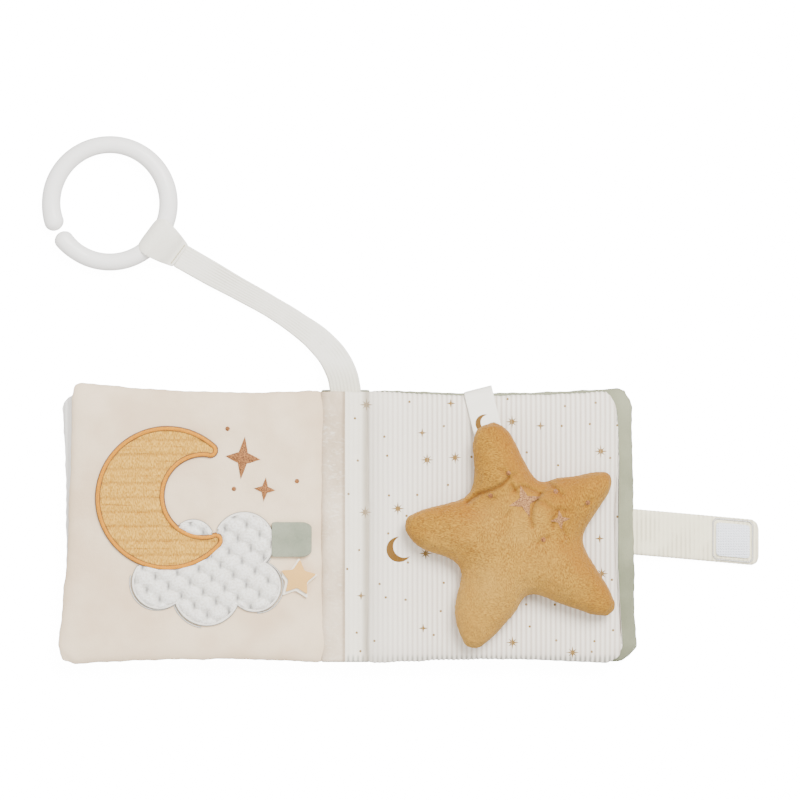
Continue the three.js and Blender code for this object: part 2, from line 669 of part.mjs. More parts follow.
// Closing strap: sewn into the back cover's fore edge, with the hook patch near its tip
// The furthest that an outline reaches in X between two heights on the page
function reachBetween(outline, lowY, highY) {
  let reach = -Infinity;
  outline.forEach((a, i) => {
    const b = outline[(i + 1) % outline.length];
    for (let t = 0; t <= 1; t += 0.05) {
      const p = a.clone().lerp(b, t);
      if (p.y >= lowY && p.y <= highY) reach = Math.max(reach, p.x);
    }
  });
  return reach;
}
const closingStartX = clearance + reachBetween(leaves.back_cover.outline,
  closingCentreY - closingWidth / 2, closingCentreY + closingWidth / 2);
const closingFoldX = closingStartX + closingRootLength;
const closingLowZ = closingThickness / 2 + seat;
const closingCourse = new THREE.CatmullRomCurve3(closingAlong.map((along, i) => new THREE.Vector3(
  closingStartX + (closingRootLength - clearance) * along, closingCentreY,
  THREE.MathUtils.lerp(coverSeamZ, closingLowZ, closingFall[i]))));
const closingRoot = bandAlong(closingCourse, 0, closingCourse.getLength(), 8,
  () => closingWidth, closingThickness, () => new THREE.Vector3(0, 1, 0),
  [new THREE.Vector3(1, 0, 0), new THREE.Vector3(1, 0, 0)]);
addPiece('closing_strap_root', slantY(closingRoot, closingStartX, closingLean), 'corduroy');

const closingHalf = closingWidth / 2;
const closingTipX = closingFoldX + closingTipLength;
const tipShape = new THREE.Shape();
tipShape.moveTo(closingFoldX, closingCentreY - closingHalf);
tipShape.lineTo(closingTipX - closingCorner, closingCentreY - closingHalf);
tipShape.absarc(closingTipX - closingCorner, closingCentreY - closingHalf + closingCorner, closingCorner,
  -Math.PI / 2, 0);
tipShape.absarc(closingTipX - closingCorner, closingCentreY + closingHalf - closingCorner, closingCorner,
  0, Math.PI / 2);
tipShape.lineTo(closingFoldX, closingCentreY + closingHalf);
addPiece('closing_strap_tip',
  slantY(prism(tipShape, seat, closingThickness, 5), closingStartX, closingLean), 'corduroy');

const hookZ = closingThickness + 2 * seat;
const hookX1 = closingTipX - hookFromTip;
const hookBox = (rim) => roundedRectangle(
  hookX1 - hookLength - rim, closingCentreY - hookWidth / 2 - rim,
  hookX1 + rim, closingCentreY + hookWidth / 2 + rim, patchCorner + rim / 2);
addPiece('hook_patch',
  slantY(prism(hookBox(0), hookZ, patchThickness), closingStartX, closingLean), 'hook');
const stitchSquare = hookBox(stitchRim);
stitchSquare.holes.push(hookBox(stitchRim - stitchWidth));
addPiece('hook_patch_stitching',
  slantY(prism(stitchSquare, hookZ, threadThickness), closingStartX, closingLean), 'whiteThread');

// Loop patch: on the outside of the front cover, where the strap's tip lands
const loopPatchX = -(spineHalf + coverReach - loopPatchInset);
addPiece('loop_patch', prism(roundedRectangle(
  loopPatchX, closingCentreY - loopPatchWidth / 2,
  loopPatchX + loopPatchLength, closingCentreY + loopPatchWidth / 2, patchCorner),
-seat - patchThickness, patchThickness), 'hook');

// Carrier strap: sewn in at the top of the spine, falls to the table and runs to the ring
const strapSewnZ = marginTopZ - marginThickness - clearance - strapThickness / 2;
const strapLowZ = strapThickness / 2 + seat;
const strapStartY = coverHeight / 2 + clearance;
const ringZ = ringTube + loopClearance + cloth;
const loopDirection = new THREE.Vector2(1, 0).rotateAround(new THREE.Vector2(), radians(loopAngle));
const loopEnd = ringCentre.clone().addScaledVector(loopDirection, ringRadius + loopTail + clearance);
const strapPoints = strapBends.map(([x, y], i) => new THREE.Vector3(
  x, strapStartY + y, THREE.MathUtils.lerp(strapSewnZ, strapLowZ, strapFall[i])));
const strapCourse = new THREE.CatmullRomCurve3([
  new THREE.Vector3(0, strapStartY, strapSewnZ),
  ...strapPoints,
  new THREE.Vector3(loopEnd.x, loopEnd.y, strapLowZ + strapEndLift),
]);
const strapLength = strapCourse.getLength();
const strapFold = strapLength * strapCreaseShare;
const strapWidth = (u) => THREE.MathUtils.lerp(strapRootWidth, strapEndWidth, u);
addPiece('carrier_strap_lower', bandAlong(
  strapCourse, 0, strapFold - clearance / 2, 12, strapWidth, strapThickness, levelAcross,
  [new THREE.Vector3(0, 1, 0)]), 'corduroy');
addPiece('carrier_strap_upper', bandAlong(
  strapCourse, strapFold + clearance / 2, strapLength, 8, strapWidth, strapThickness, levelAcross,
  [undefined, new THREE.Vector3(-loopDirection.x, -loopDirection.y, 0)]), 'corduroy');
const anchorCourse = new THREE.LineCurve3(
  new THREE.Vector3(0, anchorStartY, strapSewnZ),
  new THREE.Vector3(0, strapStartY - clearance, strapSewnZ));
addPiece('carrier_strap_anchor', bandAlong(
  anchorCourse, 0, anchorCourse.getLength(), 1, () => strapRootWidth, strapThickness, levelAcross), 'corduroy');

// Ring: an open round tube with rounded ends
function ringTubeGeometry() {
  const gap = ringGap / ringRadius;
  const sweep = 2 * Math.PI - gap;
  const capSteps = [0.04, 0.2, 0.5, 1];
  const cap = ringTube / ringRadius;
  const bodySteps = 34;
  const stations = capSteps.map((s) => [s * cap, Math.sqrt(1 - (1 - s) ** 2)]);
  for (let i = 1; i < bodySteps; i++) stations.push([cap + (sweep - 2 * cap) * i / bodySteps, 1]);
  for (const s of [...capSteps].reverse()) stations.push([sweep - s * cap, Math.sqrt(1 - (1 - s) ** 2)]);
  const start = radians(ringGapAngle) + gap / 2;
  const point = (angle, radius, z) => new THREE.Vector3(
    ringCentre.x + radius * Math.cos(angle), ringCentre.y + radius * Math.sin(angle), ringZ + z);
  const sides = 12;
  const loops = stations.map(([turn, swell]) => Array.from({ length: sides }, (_, i) => {
    const a = 2 * Math.PI * i / sides;
    const r = ringTube * swell;
    return point(start + turn, ringRadius + r * Math.cos(a), r * Math.sin(a));
  }));
  return skinLoops(loops, point(start, ringRadius, 0), point(start + sweep, ringRadius, 0));
}
addPiece('link_ring', ringTubeGeometry(), 'plastic');

// Loop: the strap's end goes round the tube and is stitched to itself
function ringLoopGeometry() {
  const hole = ringTube + loopClearance;
  const outer = hole + cloth;
  const tailZ = strapLowZ + strapEndLift - ringZ;
  const lean = radians(loopTailPitch);
  const profile = new THREE.Shape();
  profile.moveTo(loopTail, tailZ + strapThickness / 2);
  profile.lineTo(outer * Math.cos(lean), outer * Math.sin(lean));
  profile.absarc(0, 0, outer, lean, 2 * Math.PI - lean);
  profile.lineTo(loopTail, tailZ - strapThickness / 2);
  const bore = new THREE.Path();
  bore.absarc(0, 0, hole, 0, 2 * Math.PI);
  profile.holes.push(bore);
  const geometry = new THREE.ExtrudeGeometry(
    profile, { depth: loopWidth, steps: 6, bevelEnabled: false, curveSegments: 10 });
  const position = geometry.attributes.position;
  for (let i = 0; i < position.count; i++) {
    const out = position.getX(i);
    const side = loopWidth / 2 - position.getZ(i);
    const taper = THREE.MathUtils.clamp((out - outer) / (loopTail - outer), 0, 1);
    const bend = (Math.sqrt(ringRadius ** 2 - side ** 2) - ringRadius) * (1 - taper);
    const width = THREE.MathUtils.lerp(1, strapEndWidth / loopWidth, taper);
    const flat = new THREE.Vector2(ringRadius + out + bend, side * width)
      .rotateAround(new THREE.Vector2(), radians(loopAngle)).add(ringCentre);
    position.setXYZ(i, flat.x, flat.y, ringZ + position.getY(i));
  }
  return mergeVertices(geometry.deleteAttribute('normal').deleteAttribute('uv'), 1e-4);
}
const ringLoop = addPiece('ring_loop', ringLoopGeometry(), 'corduroy');
const stitchCentre = ringCentre.clone()
  .addScaledVector(loopDirection, ringRadius + loopTail - loopStitchInset);
const stitchBar = new THREE.BoxGeometry(
  stitchWidth, strapEndWidth - 2 * loopStitchMargin, threadThickness, 1, 4, 1)
  .rotateZ(radians(loopAngle))
  .translate(stitchCentre.x, stitchCentre.y, clearance + threadThickness / 2);
addPiece('ring_loop_stitching', drape(stitchBar, ringLoop), 'whiteThread');

export default book;
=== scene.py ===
# %% [markdown]
# # A soft cloth book for a pram
# The book lies open and flat: two padded covers, two padded pages on them, a spine between, a plush
# star on a ribbon, small flaps, a closing strap, and a carrier strap that ends in a plastic ring.
# The CAD model comes first, as a fixed frame: its nodes say where each piece is and how big it may
# be, and its bodies say what moves with what. Everything below dresses that frame.

# %% Load the frame and keep its box
import math

import bmesh
import bpy
from mathutils import Matrix, Vector


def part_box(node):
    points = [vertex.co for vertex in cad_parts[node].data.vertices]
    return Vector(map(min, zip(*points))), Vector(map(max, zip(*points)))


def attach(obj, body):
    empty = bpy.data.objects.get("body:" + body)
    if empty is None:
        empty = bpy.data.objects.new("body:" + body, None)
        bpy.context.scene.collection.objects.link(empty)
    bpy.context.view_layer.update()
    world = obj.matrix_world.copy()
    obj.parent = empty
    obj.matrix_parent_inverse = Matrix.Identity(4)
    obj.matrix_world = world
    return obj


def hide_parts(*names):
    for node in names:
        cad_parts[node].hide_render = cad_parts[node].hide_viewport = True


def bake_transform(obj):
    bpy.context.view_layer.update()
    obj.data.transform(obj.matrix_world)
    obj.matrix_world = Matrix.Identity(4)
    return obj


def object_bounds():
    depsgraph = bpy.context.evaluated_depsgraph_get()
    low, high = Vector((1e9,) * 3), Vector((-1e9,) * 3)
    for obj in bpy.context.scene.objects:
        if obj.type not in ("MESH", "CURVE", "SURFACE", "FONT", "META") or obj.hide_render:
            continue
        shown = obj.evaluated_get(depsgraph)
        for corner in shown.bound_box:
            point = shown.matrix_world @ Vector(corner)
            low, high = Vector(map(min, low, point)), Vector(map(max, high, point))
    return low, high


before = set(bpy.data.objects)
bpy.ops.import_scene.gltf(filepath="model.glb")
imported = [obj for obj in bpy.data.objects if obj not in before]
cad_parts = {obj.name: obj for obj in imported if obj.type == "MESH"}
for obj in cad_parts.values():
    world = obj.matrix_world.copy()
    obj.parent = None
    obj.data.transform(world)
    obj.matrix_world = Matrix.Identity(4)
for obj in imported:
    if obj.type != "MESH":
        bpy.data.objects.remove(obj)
cad_box = [list(corner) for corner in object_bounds()]

# %% [markdown]
# ## Camera, floor and light
# The photograph was taken from straight above with a long lens, so the camera hangs two metres over
# the book. One pixel of the picture is 0.425 mm on the pages, which gives the lens. The floor is a
# plain pale sheet that glows, as a light table does, because the photograph's ground is pure white.
# Its glow is for the camera only, so it doesn't light the book from below. The light is a pale sky, a
# wide soft lamp overhead and a weaker one at the side, so folds and piles cast only faint shadows.

# %% Camera
MM = 0.001
pixel, pixels, sensor, camera_height = 0.425 * MM, 800, 36, 2.0
page_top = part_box("moon_page_front")[1].z
bpy.ops.object.camera_add(location=(0.0234, 0.0540, camera_height))
camera = bpy.context.object
camera.name = "camera"
camera.data.sensor_width = sensor
camera.data.lens = sensor * (camera_height - page_top) / (pixels * pixel)
bpy.context.scene.camera = camera
print("lens", round(camera.data.lens, 1), "mm")

# %% Floor and lights
bpy.ops.mesh.primitive_plane_add(size=6, location=(0, 0, cad_box[0][2] - 0.05 * MM))
floor = bpy.context.object
floor.name = "floor"
floor.visible_diffuse = floor.visible_glossy = False
book_middle = Vector((0.02, 0.03, 0))


def soft_lamp(name, place, size, watts):
    bpy.ops.object.light_add(type="AREA", location=place)
    light = bpy.context.object
    light.name = name
    light.data.shape = "DISK"
    light.data.size = size
    light.data.energy = watts
    light.rotation_euler = (book_middle - Vector(place)).to_track_quat("-Z", "Y").to_euler()


soft_lamp("overhead", (0.55, 0.8, 1.6), 0.9, 72)
soft_lamp("side", (-1.2, -0.5, 1.2), 1.2, 11)
world = bpy.context.scene.world or bpy.data.worlds.new("world")
bpy.context.scene.world = world
world.use_nodes = True
sky = world.node_tree.nodes["Background"].inputs
sky["Color"].default_value, sky["Strength"].default_value = (1, 0.99, 0.98, 1), 1.35
print("floor at", floor.location.z)

# %% [markdown]
# ## Shader maths in Python
# A fabric is mostly small pattern: pile, ribs, thread. Each pattern is a formula on the point's place,
# so a socket is wrapped in a class whose operators add Math nodes, and formulas read as formulas.
# One more function adds any other node.

# %% A socket that Python's operators work on


def add_node(tree, kind, settings=(), inputs=(), output=0):
    """Adds a node: its settings first, then values or wires for its sockets."""
    node = tree.nodes.new(kind)
    for key, value in dict(settings).items():
        setattr(node, key, value)
    for key, value in dict(inputs).items():
        if isinstance(value, Wire):
            tree.links.new(value.socket, node.inputs[key])
        else:
            node.inputs[key].default_value = value
    return Wire(tree, node.outputs[output])


def operator(operation, swapped=False):
    """A method that adds a Math node on the wire and the other value, if there is one."""
    def method(self, *other):
        values = (*other, self) if swapped else (self, *other)
        return add_node(self.tree, "ShaderNodeMath", {"operation": operation}, enumerate(values))
    return method


class Wire:
    def __init__(self, tree, socket):
        self.tree, self.socket = tree, socket

    def axis(self, name):
        return add_node(self.tree, "ShaderNodeSeparateXYZ", (), {0: self}, name)

    __add__ = __radd__ = operator("ADD")
    __sub__, __rsub__ = operator("SUBTRACT"), operator("SUBTRACT", swapped=True)
    __mul__ = __rmul__ = operator("MULTIPLY")
    __truediv__, __pow__, __abs__ = operator("DIVIDE"), operator("POWER"), operator("ABSOLUTE")
    __lt__, __gt__ = operator("LESS_THAN"), operator("GREATER_THAN")
    least, most = operator("MINIMUM"), operator("MAXIMUM")
    sine, fraction = operator("SINE"), operator("FRACT")


# %% A finish: one material with the helpers that most fabrics need


def srgb(red, green, blue):
    """A colour as read off a screen, 0 to 255, in the linear values that a shader takes."""
    def linear(c):
        c /= 255
        return c / 12.92 if c <= 0.04045 else ((c + 0.055) / 1.055) ** 2.4
    return (linear(red), linear(green), linear(blue), 1)


class Finish:
    """Colours are given as read off a screen."""

    def __init__(self, name, roughness, sheen=0.0, sheen_tint=(255, 255, 255), coat=0.0):
        self.material = bpy.data.materials.new(name)
        self.material.use_nodes = True
        self.tree = self.material.node_tree
        self.shader = self.tree.nodes["Principled BSDF"]
        for key, value in (("Roughness", roughness), ("Sheen Weight", sheen), ("Sheen Roughness", 0.5),
                           ("Sheen Tint", srgb(*sheen_tint)), ("Coat Weight", coat),
                           ("Specular IOR Level", 0.25)):
            self.shader.inputs[key].default_value = value
        self.at = self.node("ShaderNodeTexCoord", output="Object")

    def node(self, kind, settings=(), inputs=(), output=0):
        return add_node(self.tree, kind, settings, inputs, output)

    def vector(self, operation, *values, output=0):
        return self.node("ShaderNodeVectorMath", {"operation": operation}, enumerate(values), output)

    def stretched(self, x, y, z):
        return self.vector("MULTIPLY", self.at, (x, y, z))

    def noise(self, size, at=None, detail=2):
        """Cloudy noise from 0 to 1 whose features are about size metres across."""
        inputs = {"Vector": at or self.at, "Scale": 1 / size, "Detail": detail}
        return self.node("ShaderNodeTexNoise", (), inputs)

    def mix(self, factor, a, b):
        a, b = [colour if isinstance(colour, Wire) else srgb(*colour) for colour in (a, b)]
        return self.node("ShaderNodeMix", {"data_type": "RGBA"}, {0: factor, 6: a, 7: b}, 2)

    def attribute(self, name):
        """A number that the mesh keeps at its points."""
        return self.node("ShaderNodeAttribute", {"attribute_name": name}, output="Fac")

    def ramp(self, value, low, high):
        """0 below low, 1 above high, smooth between."""
        inputs = {"Value": value, "From Min": low, "From Max": high}
        return self.node("ShaderNodeMapRange", {"interpolation_type": "SMOOTHSTEP"}, inputs)

    def patchy(self, low, high, *noise, **detail):
        """Noise that is 0 in some patches and 1 in others."""
        return self.ramp(self.noise(*noise, **detail), low, high)

    def distance(self, x, y):
        """From a place on the page, in millimetres, whatever the height."""
        return self.vector("DISTANCE", self.stretched(1 / MM, 1 / MM, 0), (x, y, 0), output="Value")

    def groove(self, place, width):
        """1 along a wavering line up the page at X = place, 0 from width on, all in millimetres."""
        away = abs(self.at.axis("X") + self.noise(0.025) * 0.8 * MM - (place + 0.4) * MM)
        return 1 - self.ramp(away, 0.0, width * MM)

    def wear(self, colour, height=None):
        """Takes its colour and, in millimetres, the height of its bumps."""
        self.tree.links.new(colour.socket, self.shader.inputs["Base Color"])
        if height:
            normal = self.node("ShaderNodeBump", (), {"Height": height, "Strength": 1, "Distance": MM})
            self.tree.links.new(normal.socket, self.shader.inputs["Normal"])
        return self


# %% Floor finish
pale = Finish("pale_floor", 0.9)
pale.wear(pale.mix(pale.noise(0.4), (250, 250, 250), (254, 254, 254)))
pale.shader.inputs["Emission Color"].default_value = (1, 1, 1, 1)
pale.shader.inputs["Emission Strength"].default_value = 14
floor.data.materials.append(pale.material)
print("floor finish made")

# %% [markdown]
# ## Velour and plush
# Velour is a knit with a short standing pile. Seen from above it has no weave, only a soft grain and
# slow patches where the pile leans another way. So its colour mixes two tones by slow noise, its grain
# is fine noise in the bump, and sheen gives the pale rim of a pile. The plush of the star has a longer
# pile: the grain is coarser, streaked, and the patches are stronger.

# %% Velour finishes


def velour(name, tone, shade, grain=0.10, pile=0.45, seam=None):
    """With a seam colour the pile has pale flecks, and painted shade darkens it where the mesh has a seam
    number and along the middle line.
    """
    finish = Finish(name, 0.95, sheen=0.25, sheen_tint=tone)
    patches = finish.ramp(finish.noise(0.045) * 0.6 + finish.noise(0.012, detail=3) * 0.4, 0.36, 0.66)
    fine = finish.noise(pile * MM, finish.stretched(1.3, 0.7, 1), detail=3)
    cloth = finish.mix(patches * 0.65 + fine * 0.35, tone, shade)
    if seam:
        flecks = finish.patchy(0.5, 0.72, 1.5 * MM, finish.stretched(0.6, 1.4, 1), detail=4)
        cloth = finish.mix(flecks * finish.patchy(0.35, 0.6, 0.02) * 0.5, cloth, (255, 248, 232))
        # Painted shade in the seams: along the margin's sewn sides and along the spine's middle line.
        seam_shade = finish.attribute("seam") * 0.7 + finish.groove(-0.5, 1.3) * 0.5
        cloth = finish.mix(seam_shade, cloth, seam)
    return finish.wear(cloth, fine * grain + finish.noise(2.5 * MM) * 0.12)


beige = velour("velour_beige", (240, 218, 187), (216, 189, 155))
# The margin's seam colour is painted shade, laid in its seams.
margin_velour = velour("velour_margin", (238, 219, 194), (190, 168, 140), grain=0.3, pile=1.1,
                       seam=(150, 130, 108))
sage = velour("velour_sage", (155, 156, 130), (117, 120, 97), grain=0.16)
plush = Finish("plush_mustard", 0.9, sheen=0.3, sheen_tint=(250, 215, 150))
# Painted shade: the plush is darker orange on faces turned up and to the right, and in random patches.
side_shade = plush.attribute("side_shade")
patches = plush.patchy(0.35, 0.7, 0.014, detail=4)
swirl = plush.node("ShaderNodeTexNoise", (), {"Vector": plush.at, "Scale": 160}, "Color")
warped = plush.vector("MULTIPLY_ADD", swirl, (3 * MM, 3 * MM, 3 * MM), plush.at)
level_nap, upright_nap = [plush.noise(1, plush.vector("MULTIPLY", warped, scale), detail=3)
                          for scale in ((900, 2600, 1800), (2600, 900, 1800))]
turn = plush.patchy(0.42, 0.58, 0.02)
nap = level_nap * (1 - turn) + upright_nap * turn
tips = plush.ramp(nap, 0.3, 0.7)
combed = plush.mix(tips, (122, 78, 16), (184, 138, 48))
combed = plush.mix(plush.patchy(0.3, 0.7, 0.035) * 0.3, combed, (200, 160, 78))
redder = plush.mix(tips, (112, 70, 6), (168, 118, 20))
combed = plush.mix(plush.ramp(plush.distance(66, -24), 22, 46) * 0.7, combed, redder)
side_shaded = plush.mix(side_shade * 0.75 + patches * 0.2, combed, (142, 84, 6))
# Painted shade in the folds: the deeper a point lies in a fold, the darker brown.
plush.wear(plush.mix(plush.attribute("fold") * 0.75, side_shaded, (92, 50, 10)),
           nap * 0.5 + plush.noise(2.2 * MM) * 0.3)
print("velour and plush made")

# %% [markdown]
# ## Corduroy
# Corduroy has rows of pile, the wales, with bare ground between. A sine wave across the wales gives
# both the bump and the darker ground, which is partly the ground's own colour and partly painted shade
# between the wales. The wales of the pages run up the page. The fine gold print on the star page is a
# scatter of small stars and dots: a Voronoi texture drops one point in each cell. The distance from
# that point draws a dot, and thin rhombi that cross there draw a star. The ground between wales takes
# less print, so the wave also breaks the print up. Where page and margin meet, the cloth dips, and
# painted shade darkens both along that line.

# %% Corduroy finishes
gold, pale_gold = (112, 78, 24), (134, 106, 60)


def wave(wire, pitch):
    """A sine from 0 to 1 that repeats every pitch metres."""
    return (wire * (2 * math.pi / pitch)).sine() * 0.5 + 0.5


def corduroy(name, pitch, depth, tone, ground, printed=False, shade_ramp=None, shade_grooves=(), faded=0):
    """worn is the X range over which the wales, with the painted shade of their ground, come out from
    flat to full. Grooves are lines of painted shade, each with a place, a width and a strength. faded is
    how much of the wales wears off in patches."""
    finish = Finish(name, 0.95, sheen=0.2)
    wobble = finish.noise(0.02) * 0.3 * MM
    crest = wave(finish.at.axis("X") + wobble, pitch) ** 0.6
    if shade_ramp:
        clear = finish.ramp(finish.at.axis("X") + finish.noise(0.03) * 0.02, *shade_ramp) * 0.8 + 0.2
        crest = 1 - clear + crest * clear
    if faded:
        left = 1 - finish.patchy(0.4, 0.6, 0.012) * faded
        crest = 1 - left + crest * left
    pile = finish.noise(0.4 * MM, detail=3)
    # The darker ground is partly its own colour and partly painted shade between the wales.
    cloth = finish.mix(crest * 0.8 + pile * 0.2, ground, tone)
    if printed:
        small, moon = scatter(finish)
        inked = finish.ramp(crest, -1.6, 0.6)
        cloth = finish.mix(moon * inked, finish.mix(small * inked, cloth, pale_gold), gold)
        # Painted shade along the foot, in the gaps between the rib ends.
        foot = finish.ramp(finish.at.axis("Y") * -1, 53.6 * MM, 56.0 * MM)
        cloth = finish.mix(foot * (1 - crest) * 0.75, cloth, (118, 122, 112))
    # Painted shade along each groove, where page, margin and spine meet.
    for place, width, strength in shade_grooves:
        cloth = finish.mix(finish.groove(place, width) * strength, cloth, (150, 138, 118))
    return finish.wear(cloth, crest * depth + pile * 0.08)


def spiked(x, y, reach, width):
    """Inside a four-pointed star: an upright and a level rhombus, each twice reach by twice width."""
    level, upright = x / (reach * MM) + y / (width * MM), x / (width * MM) + y / (reach * MM)
    return level.least(upright) < 1


def scatter(finish):
    """Masks of the small stars and dots, scattered with one in each cell, and of the crescent."""
    cell = 12.5 * MM
    flat = finish.stretched(1, 1, 0)
    voronoi = {"Vector": flat, "Scale": 1 / cell, "Randomness": 0.8}
    flat_cells = {"voronoi_dimensions": "2D"}
    point = finish.node("ShaderNodeTexVoronoi", flat_cells, voronoi, "Position")
    chance = finish.node("ShaderNodeTexVoronoi", flat_cells, voronoi, "Color").axis("X")
    away = finish.vector("SUBTRACT", flat, point)
    east, north = away.axis("X"), away.axis("Y")
    x, y = abs(east), abs(north)
    slant, rise = abs(east + north) * 0.707, abs(east - north) * 0.707
    eight = spiked(x, y, 2.9, 0.5).most(spiked(slant, rise, 2.4, 0.5)) * (chance > 0.84)
    four = spiked(x, y, 2.0, 0.55) * (chance > 0.68) * (chance < 0.84)
    dot = ((x * x + y * y) ** 0.5 < 0.52 * MM) * (chance < 0.68)
    moon = (finish.distance(23.0, -9.5) < 5.4) * (finish.distance(25.2, -8.3) > 4.7)
    return eight.most(four).most(dot), moon


wale = 2.1 * MM
white_cord = corduroy("corduroy_white", wale, 0.3, (255, 253, 248), (244, 240, 232))
# The star page's painted shade between wales fades out towards the spine, so the page is lighter there;
# both pieces have painted shade along their seams.
printed_cord = corduroy("corduroy_printed", wale, 0.0, (249, 243, 229), (202, 186, 170),
                        printed=True, shade_ramp=(0.012, 0.055), shade_grooves=((9.0, 2.6, 0.7), (9.0, 14, 0.2)))
margin_cord = corduroy("corduroy_margin", wale, 0.08, (248, 241, 224), (240, 232, 214),
                       printed=True, shade_grooves=((9.2, 2.6, 0.7), (9.2, 6, 0.15), (-0.6, 1.2, 0.35)))
print("corduroy made")

# %% [markdown]
# ## Thread, cord plush, felt, satin, tape and plastic
# Satin stitch is shiny thread laid side by side, so it is smoother than cloth and a little streaky.
# The moon is a wide-ribbed plush whose ribs are modelled, so its finish adds only the short tufts, the
# fine lines between their rows and the darker valleys, whose dark is painted shade. Felt is matted
# fibre. The ribbon is smooth satin with a printed crescent. Hook tape is close rows of small hooks, and
# the ring is moulded plastic with a soft gloss.

# %% The smaller finishes


def thread(name, tone, shade, size=0.35, rim=None):
    """Where the mesh has a rim number, painted shade darkens the thread towards the edge of its line, where
    the band meets the cloth.
    """
    finish = Finish(name, 0.6, sheen=0.15)
    streaks = finish.patchy(0.3, 0.7, size * MM)
    cover = finish.mix(streaks, shade, tone)
    if rim:
        cover = finish.mix(finish.ramp(finish.attribute("rim"), 0.12, 0.5), cover, rim)
    return finish.wear(cover, streaks * 0.1)


# The rim colours are painted shade at the foot of the raised bands.
mustard_thread = thread("thread_mustard", (223, 148, 10), (184, 115, 6), rim=(92, 52, 6))
white_thread = thread("thread_white", (253, 250, 244), (244, 240, 230), rim=(132, 127, 118))
cream_thread = thread("thread_cream", (206, 196, 158), (176, 164, 124), 0.3)
copper_thread = thread("thread_copper", (168, 110, 58), (82, 48, 22), 0.55)
rose_thread = thread("thread_rose", (176, 126, 74), (104, 66, 34), 0.55)

moon_cord = Finish("cord_mustard", 0.9, sheen=0.2, sheen_tint=(250, 220, 160))
tufts = moon_cord.patchy(0.3, 0.7, 0.62 * MM, moon_cord.stretched(1.5, 0.5, 1), detail=4)
wander, line_pitch = moon_cord.noise(9 * MM, moon_cord.stretched(0.6, 1, 1)) * 1.2, 3.1
up = (moon_cord.at.axis("Y") / MM + wander + 0.9) / line_pitch
line = 1 - moon_cord.ramp(abs(up.fraction() - 0.5) * line_pitch, 0.0, 0.45)
broken = moon_cord.patchy(0.4, 0.7, 6 * MM, moon_cord.stretched(0.5, 1, 1))
fine_lines = line * broken * 0.7
# Painted shade in the valleys between ribs and in the fine lines between rows of tufts.
valley_shade = (moon_cord.attribute("valley_shade") ** 3 * 0.6).most(fine_lines)
pile = moon_cord.mix(tufts, (186, 130, 34), (234, 182, 78))
moon_cord.wear(moon_cord.mix(valley_shade, pile, (170, 106, 24)), tufts * 0.3 - fine_lines * 0.3)

fluff = Finish("plush_white", 0.95, sheen=0.3)
curls = fluff.noise(0.9 * MM, detail=4)
tops = fluff.mix(fluff.ramp(curls, 0.3, 0.7), (222, 216, 204), (250, 248, 242))
# The dimples are darkened grey with painted shade.
fluff.wear(fluff.mix(fluff.attribute("dimple_shade"), tops, (112, 110, 108)), curls * 0.6)


def felt(name, tone, shade):
    finish = Finish(name, 1.0, sheen=0.15)
    fibres = finish.noise(0.5 * MM, detail=5)
    return finish.wear(finish.mix(fibres, shade, tone), fibres * 0.12)


white_felt = felt("felt_white", (246, 239, 222), (236, 228, 210))
peach_felt = felt("felt_peach", (226, 180, 106), (210, 160, 90))

satin = Finish("satin_ribbon", 0.42, sheen=0.1)
weave = satin.noise(0.35 * MM, satin.stretched(1, 0.25, 1), detail=1)
satin_ground = satin.mix(weave, (244, 238, 222), (248, 244, 232))
crescent = (satin.distance(59.3, 44.0) < 3.9) * (satin.distance(60.8, 44.5) > 3.2)
satin.wear(satin.mix(crescent, satin_ground, gold), weave * 0.03)

tape = Finish("hook_tape", 0.75, sheen=0.1)
hooks = wave(tape.at.axis("X"), 1.1 * MM) * wave(tape.at.axis("Y"), 1.1 * MM)
tape.wear(tape.mix(hooks, (236, 239, 246), (246, 248, 252)), hooks * 0.3)

plastic = Finish("ring_plastic", 0.38, coat=0.15)
haze = plastic.mix(plastic.noise(0.02), (246, 243, 238), (250, 248, 244))
plastic.wear(haze, plastic.noise(0.003) * 0.02)

wadding = felt("wadding_white", (244, 242, 238), (230, 227, 222))
print(len(bpy.data.materials), "finishes")

# %% [markdown]
# ## Selecting and finishing
# Blender's operators act on what is selected, so everything is deselected before a piece is made, and
# in edit mode points, edges and faces are picked by their place. A finished piece has its place in its
# mesh, rides on a body if it has one, and hides the CAD nodes that it stands for.

# %% Helpers for editing


def done():
    """Leaves edit mode."""
    bpy.ops.object.mode_set(mode="OBJECT")


def only(piece=None):
    """Selects one piece, or nothing."""
    if bpy.context.mode != "OBJECT":
        done()
    bpy.ops.object.select_all(action="DESELECT")
    if piece:
        piece.select_set(True)
        bpy.context.view_layer.objects.active = piece


def settle(piece):
    """Puts the object at the origin with its place in its mesh."""
    only(piece)
    bpy.ops.object.transform_apply(location=True, rotation=True, scale=True)
    return piece


def made(add, scale=(1, 1, 1), **values):
    """Makes a primitive with an operator, and settles it."""
    only()
    add(**values)
    piece = bpy.context.object
    piece.scale = scale
    return settle(piece)


def block(low, high):
    return made(bpy.ops.mesh.primitive_cube_add, high - low, size=1, location=(low + high) / 2)


def placed(name, data):
    """A new object round some data."""
    piece = bpy.data.objects.new(name, data)
    bpy.context.scene.collection.objects.link(piece)
    return piece


def joined(pieces):
    """Joins pieces into the first of them."""
    only(pieces[0])
    for piece in pieces:
        piece.select_set(True)
    if len(pieces) > 1:
        bpy.ops.object.join()
    return bpy.context.view_layer.objects.active


